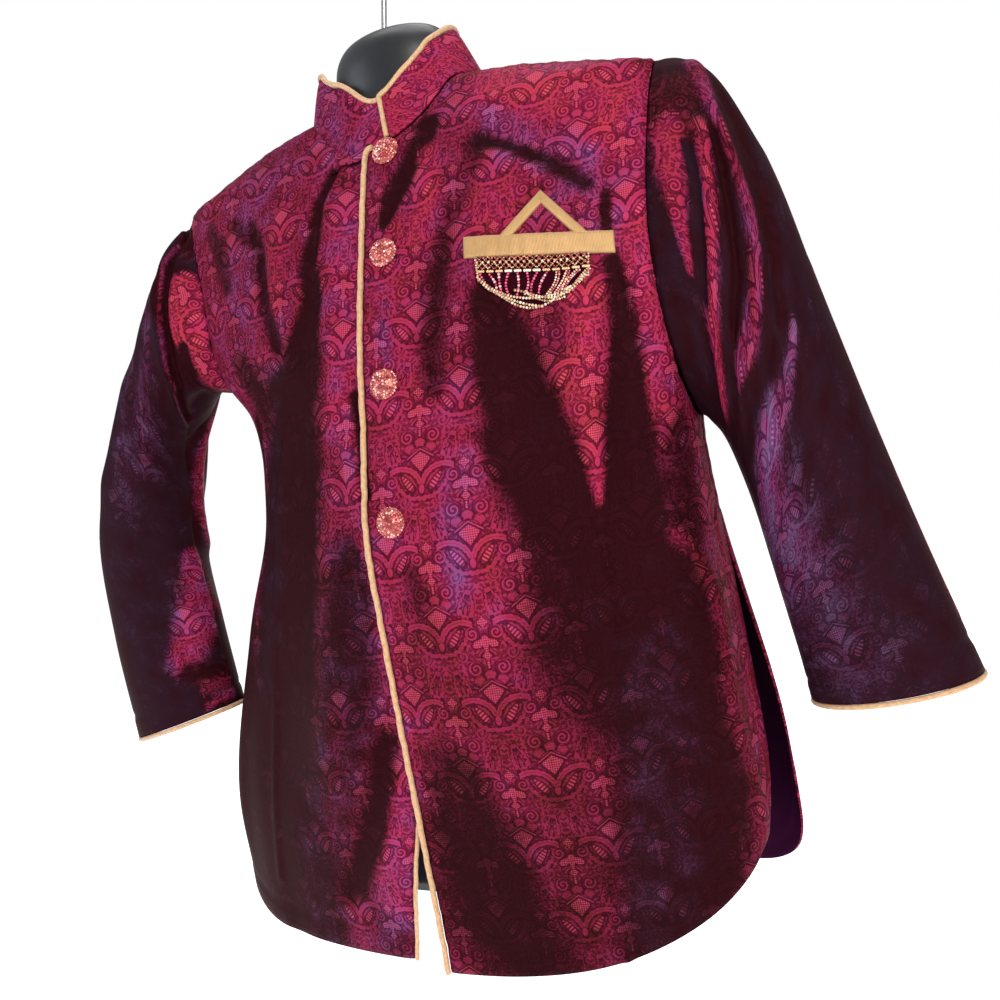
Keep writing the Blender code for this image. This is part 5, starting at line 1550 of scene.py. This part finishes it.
def jewelled_button(number, row):
    """A dome set all over with small cut stones."""
    bm = bmesh.new()
    tint = bm.verts.layers.float.new("stone")
    line = [bm.verts.new((BUTTON * out, 0, BUTTON_RISE * up)) for out, up in DOME]
    edges = [bm.edges.new(ends) for ends in zip(line, line[1:])]
    bmesh.ops.spin(bm, geom=line + edges, cent=(0, 0, 0), axis=(0, 0, 1), dvec=(0, 0, 0), angle=math.tau,
                   steps=28, use_merge=True, use_duplicate=False)
    bmesh.ops.remove_doubles(bm, verts=bm.verts, dist=1e-6)
    bmesh.ops.recalc_face_normals(bm, faces=bm.faces)
    for vertex in bm.verts:
        vertex[tint] = 0.15
    sparkle = random.Random(100 + number)
    for ring, (lean, count) in enumerate(STONE_RINGS):
        out, up = math.sin(math.radians(lean)), math.cos(math.radians(lean))
        for k in range(count):
            around = math.tau * (k + 0.5 * (ring % 2)) / count
            x, y = out * math.cos(around), out * math.sin(around)
            spot = Vector((BUTTON * STONES_OUT * x, BUTTON * STONES_OUT * y, BUTTON_RISE * STONES_UP * up))
            tipped = Vector([sparkle.uniform(-STONE_LEAN, STONE_LEAN) for _ in range(3)])
            set_in = standing(spot, Vector((x, y, up * STONES_FLAT)) + tipped)
            size = sparkle.uniform(*STONE_SIZES)
            made = bmesh.ops.create_cone(bm, cap_ends=True, segments=7, radius1=size, radius2=size * 0.5,
                                         depth=size * 0.8, matrix=set_in)
            share = sparkle.choice(STONE_TINTS)
            for vertex in made["verts"]:
                vertex[tint] = share
    angle = float(angle_at(row.across, row.height))
    seat = standing(Vector(skin(angle, row.height, BUTTON_STAND)), Vector(outward(angle, row.height)))
    bmesh.ops.transform(bm, matrix=seat, verts=bm.verts)
    piece = show(f"jewelled_button_{number}", meshed(bm, "button"), "jewelled_buttons", rose_stones,
                 nodes=[f"button_{number}"])
    piece.data.shade_flat()


for number, row in enumerate(BUTTONS, 1):
    jewelled_button(number, row)


# ---- form and hook ----

FORM_FINE = 0.492, 0.5265       # heights between which the form's rings stand closer, at its throat
STEM_LONG = 2.9                 # depth of the stem's top under the bend, in radii of the bend

turns = math.tau * steps(108)
heights = np.concatenate([mix(FORM_FOOT, FORM_FINE[0] - 0.002, steps(60)), np.linspace(*FORM_FINE, 19)])
body_rings = form_points(turns[None, :], heights[:, None])
where = np.linspace(0, len(FORM_NECK) - 1, 36)[:, None]
half_x, half_y, height = (curve_of(FORM_NECK, name)(where) for name in ("half_x", "half_y", "height"))
neck_x, neck_y = NECK_SHIFT + half_x * np.sin(turns), FORM_NECK_BACK - half_y * np.cos(turns)
neck_rings = place(neck_x, neck_y, height + 0 * turns)
form_shell = lay(np.concatenate([body_rings, neck_rings]), closed=True, capped=True)
show("torso_form_shell", form_shell, "form", form_plastic, nodes=["torso_form"])


def on_crook(turn):
    """A point of the hook's bend, on the middle of its wire."""
    return Vector((0, 0, WIRE - CROOK)) + Vector((math.cos(turn), 0, math.sin(turn))) * CROOK


start, finish = math.radians(-52), math.radians(205)
foot = Vector(place(HOOK_FOOT, 0, FORM_NECK[-1].height + 2 * SEAM - 0.001))
stem, joint = Vector((0, 0, WIRE - CROOK * STEM_LONG)), on_crook(start)
hook_line = [foot, mix(foot, stem, 0.5), stem]
hook_line += [Vector((joint.x * float(ease(0, 1, s)), 0, mix(stem.z, joint.z, s))) for s in steps(5)[1:-1]]
hook_line += [on_crook(turn) for turn in np.linspace(start, finish, 17)]
show("hook_wire", tube(smooth_path(hook_line, 160), WIRE, 16), "hook", hook_steel, nodes=["hook"])


# ---- floor, light and camera ----

AIM = Vector((0, 0, -0.35))
FLOOR_LEVEL, FLOOR_HALF = -0.95, 12.0
SKY_COLOUR, SKY_LIGHT, BACKDROP = (0.95, 0.96, 1.0, 1), 0.42, (1.0, 1.0, 1.0, 1)
WARM, COLD, NEUTRAL, PALE = (1.0, 0.94, 0.88), (0.80, 0.88, 1.0), (1.0, 1.0, 1.0), (1.0, 0.97, 0.95)

bm = bmesh.new()
bmesh.ops.create_grid(bm, x_segments=8, y_segments=8, size=FLOOR_HALF)
bmesh.ops.translate(bm, vec=(0, 0, FLOOR_LEVEL), verts=bm.verts)
floor_data = meshed(bm, "floor")
floor_data.materials.append(pale_backdrop())
floor = bpy.data.objects.new("floor", floor_data)
bpy.context.scene.collection.objects.link(floor)

scene = bpy.context.scene
scene.view_settings.view_transform = "Standard"
world = bpy.data.worlds.new("studio")
world.use_nodes = True
scene.world = world
tree = world.node_tree
sky = tree.nodes["Background"]
sky.inputs["Color"].default_value = SKY_COLOUR
sky.inputs["Strength"].default_value = SKY_LIGHT
plain = tree.nodes.new("ShaderNodeBackground")
plain.inputs["Color"].default_value = BACKDROP
ray_kind = tree.nodes.new("ShaderNodeLightPath")
choose = tree.nodes.new("ShaderNodeMixShader")
for source, socket in (
    (ray_kind.outputs["Is Camera Ray"], choose.inputs[0]),
    (sky.outputs[0], choose.inputs[1]),
    (plain.outputs[0], choose.inputs[2]),
    (choose.outputs[0], tree.nodes["World Output"].inputs[0]),
):
    tree.links.new(source, socket)


def softbox(name, spot, size, watts, colour):
    """A broad light that faces the coat."""
    data = bpy.data.lights.new(name, "AREA")
    data.shape = "RECTANGLE"
    data.size, data.size_y = size
    data.energy = watts
    data.color = colour
    lamp = bpy.data.objects.new(name, data)
    lamp.location = spot
    lamp.rotation_euler = (AIM - Vector(spot)).to_track_quat("-Z", "Y").to_euler()
    scene.collection.objects.link(lamp)


softbox("key", (1.3, -1.7, 0.35), (1.0, 1.2), 34, WARM)
softbox("fill", (-1.7, -1.2, 0.0), (1.0, 1.4), 15, COLD)
softbox("top", (0.1, 0.2, 1.4), (1.4, 1.4), 14, NEUTRAL)
softbox("behind", (-0.6, 1.9, 0.2), (1.2, 1.2), 20, PALE)

camera_data = bpy.data.cameras.new("camera")
camera_data.lens = CAMERA_FOCAL
camera_data.sensor_width = SENSOR
camera_data.clip_start = 0.02
camera = bpy.data.objects.new("camera", camera_data)
camera.matrix_world = Matrix.Translation(eye) @ Matrix((right, above, away)).transposed().to_4x4()
scene.collection.objects.link(camera)
scene.camera = camera
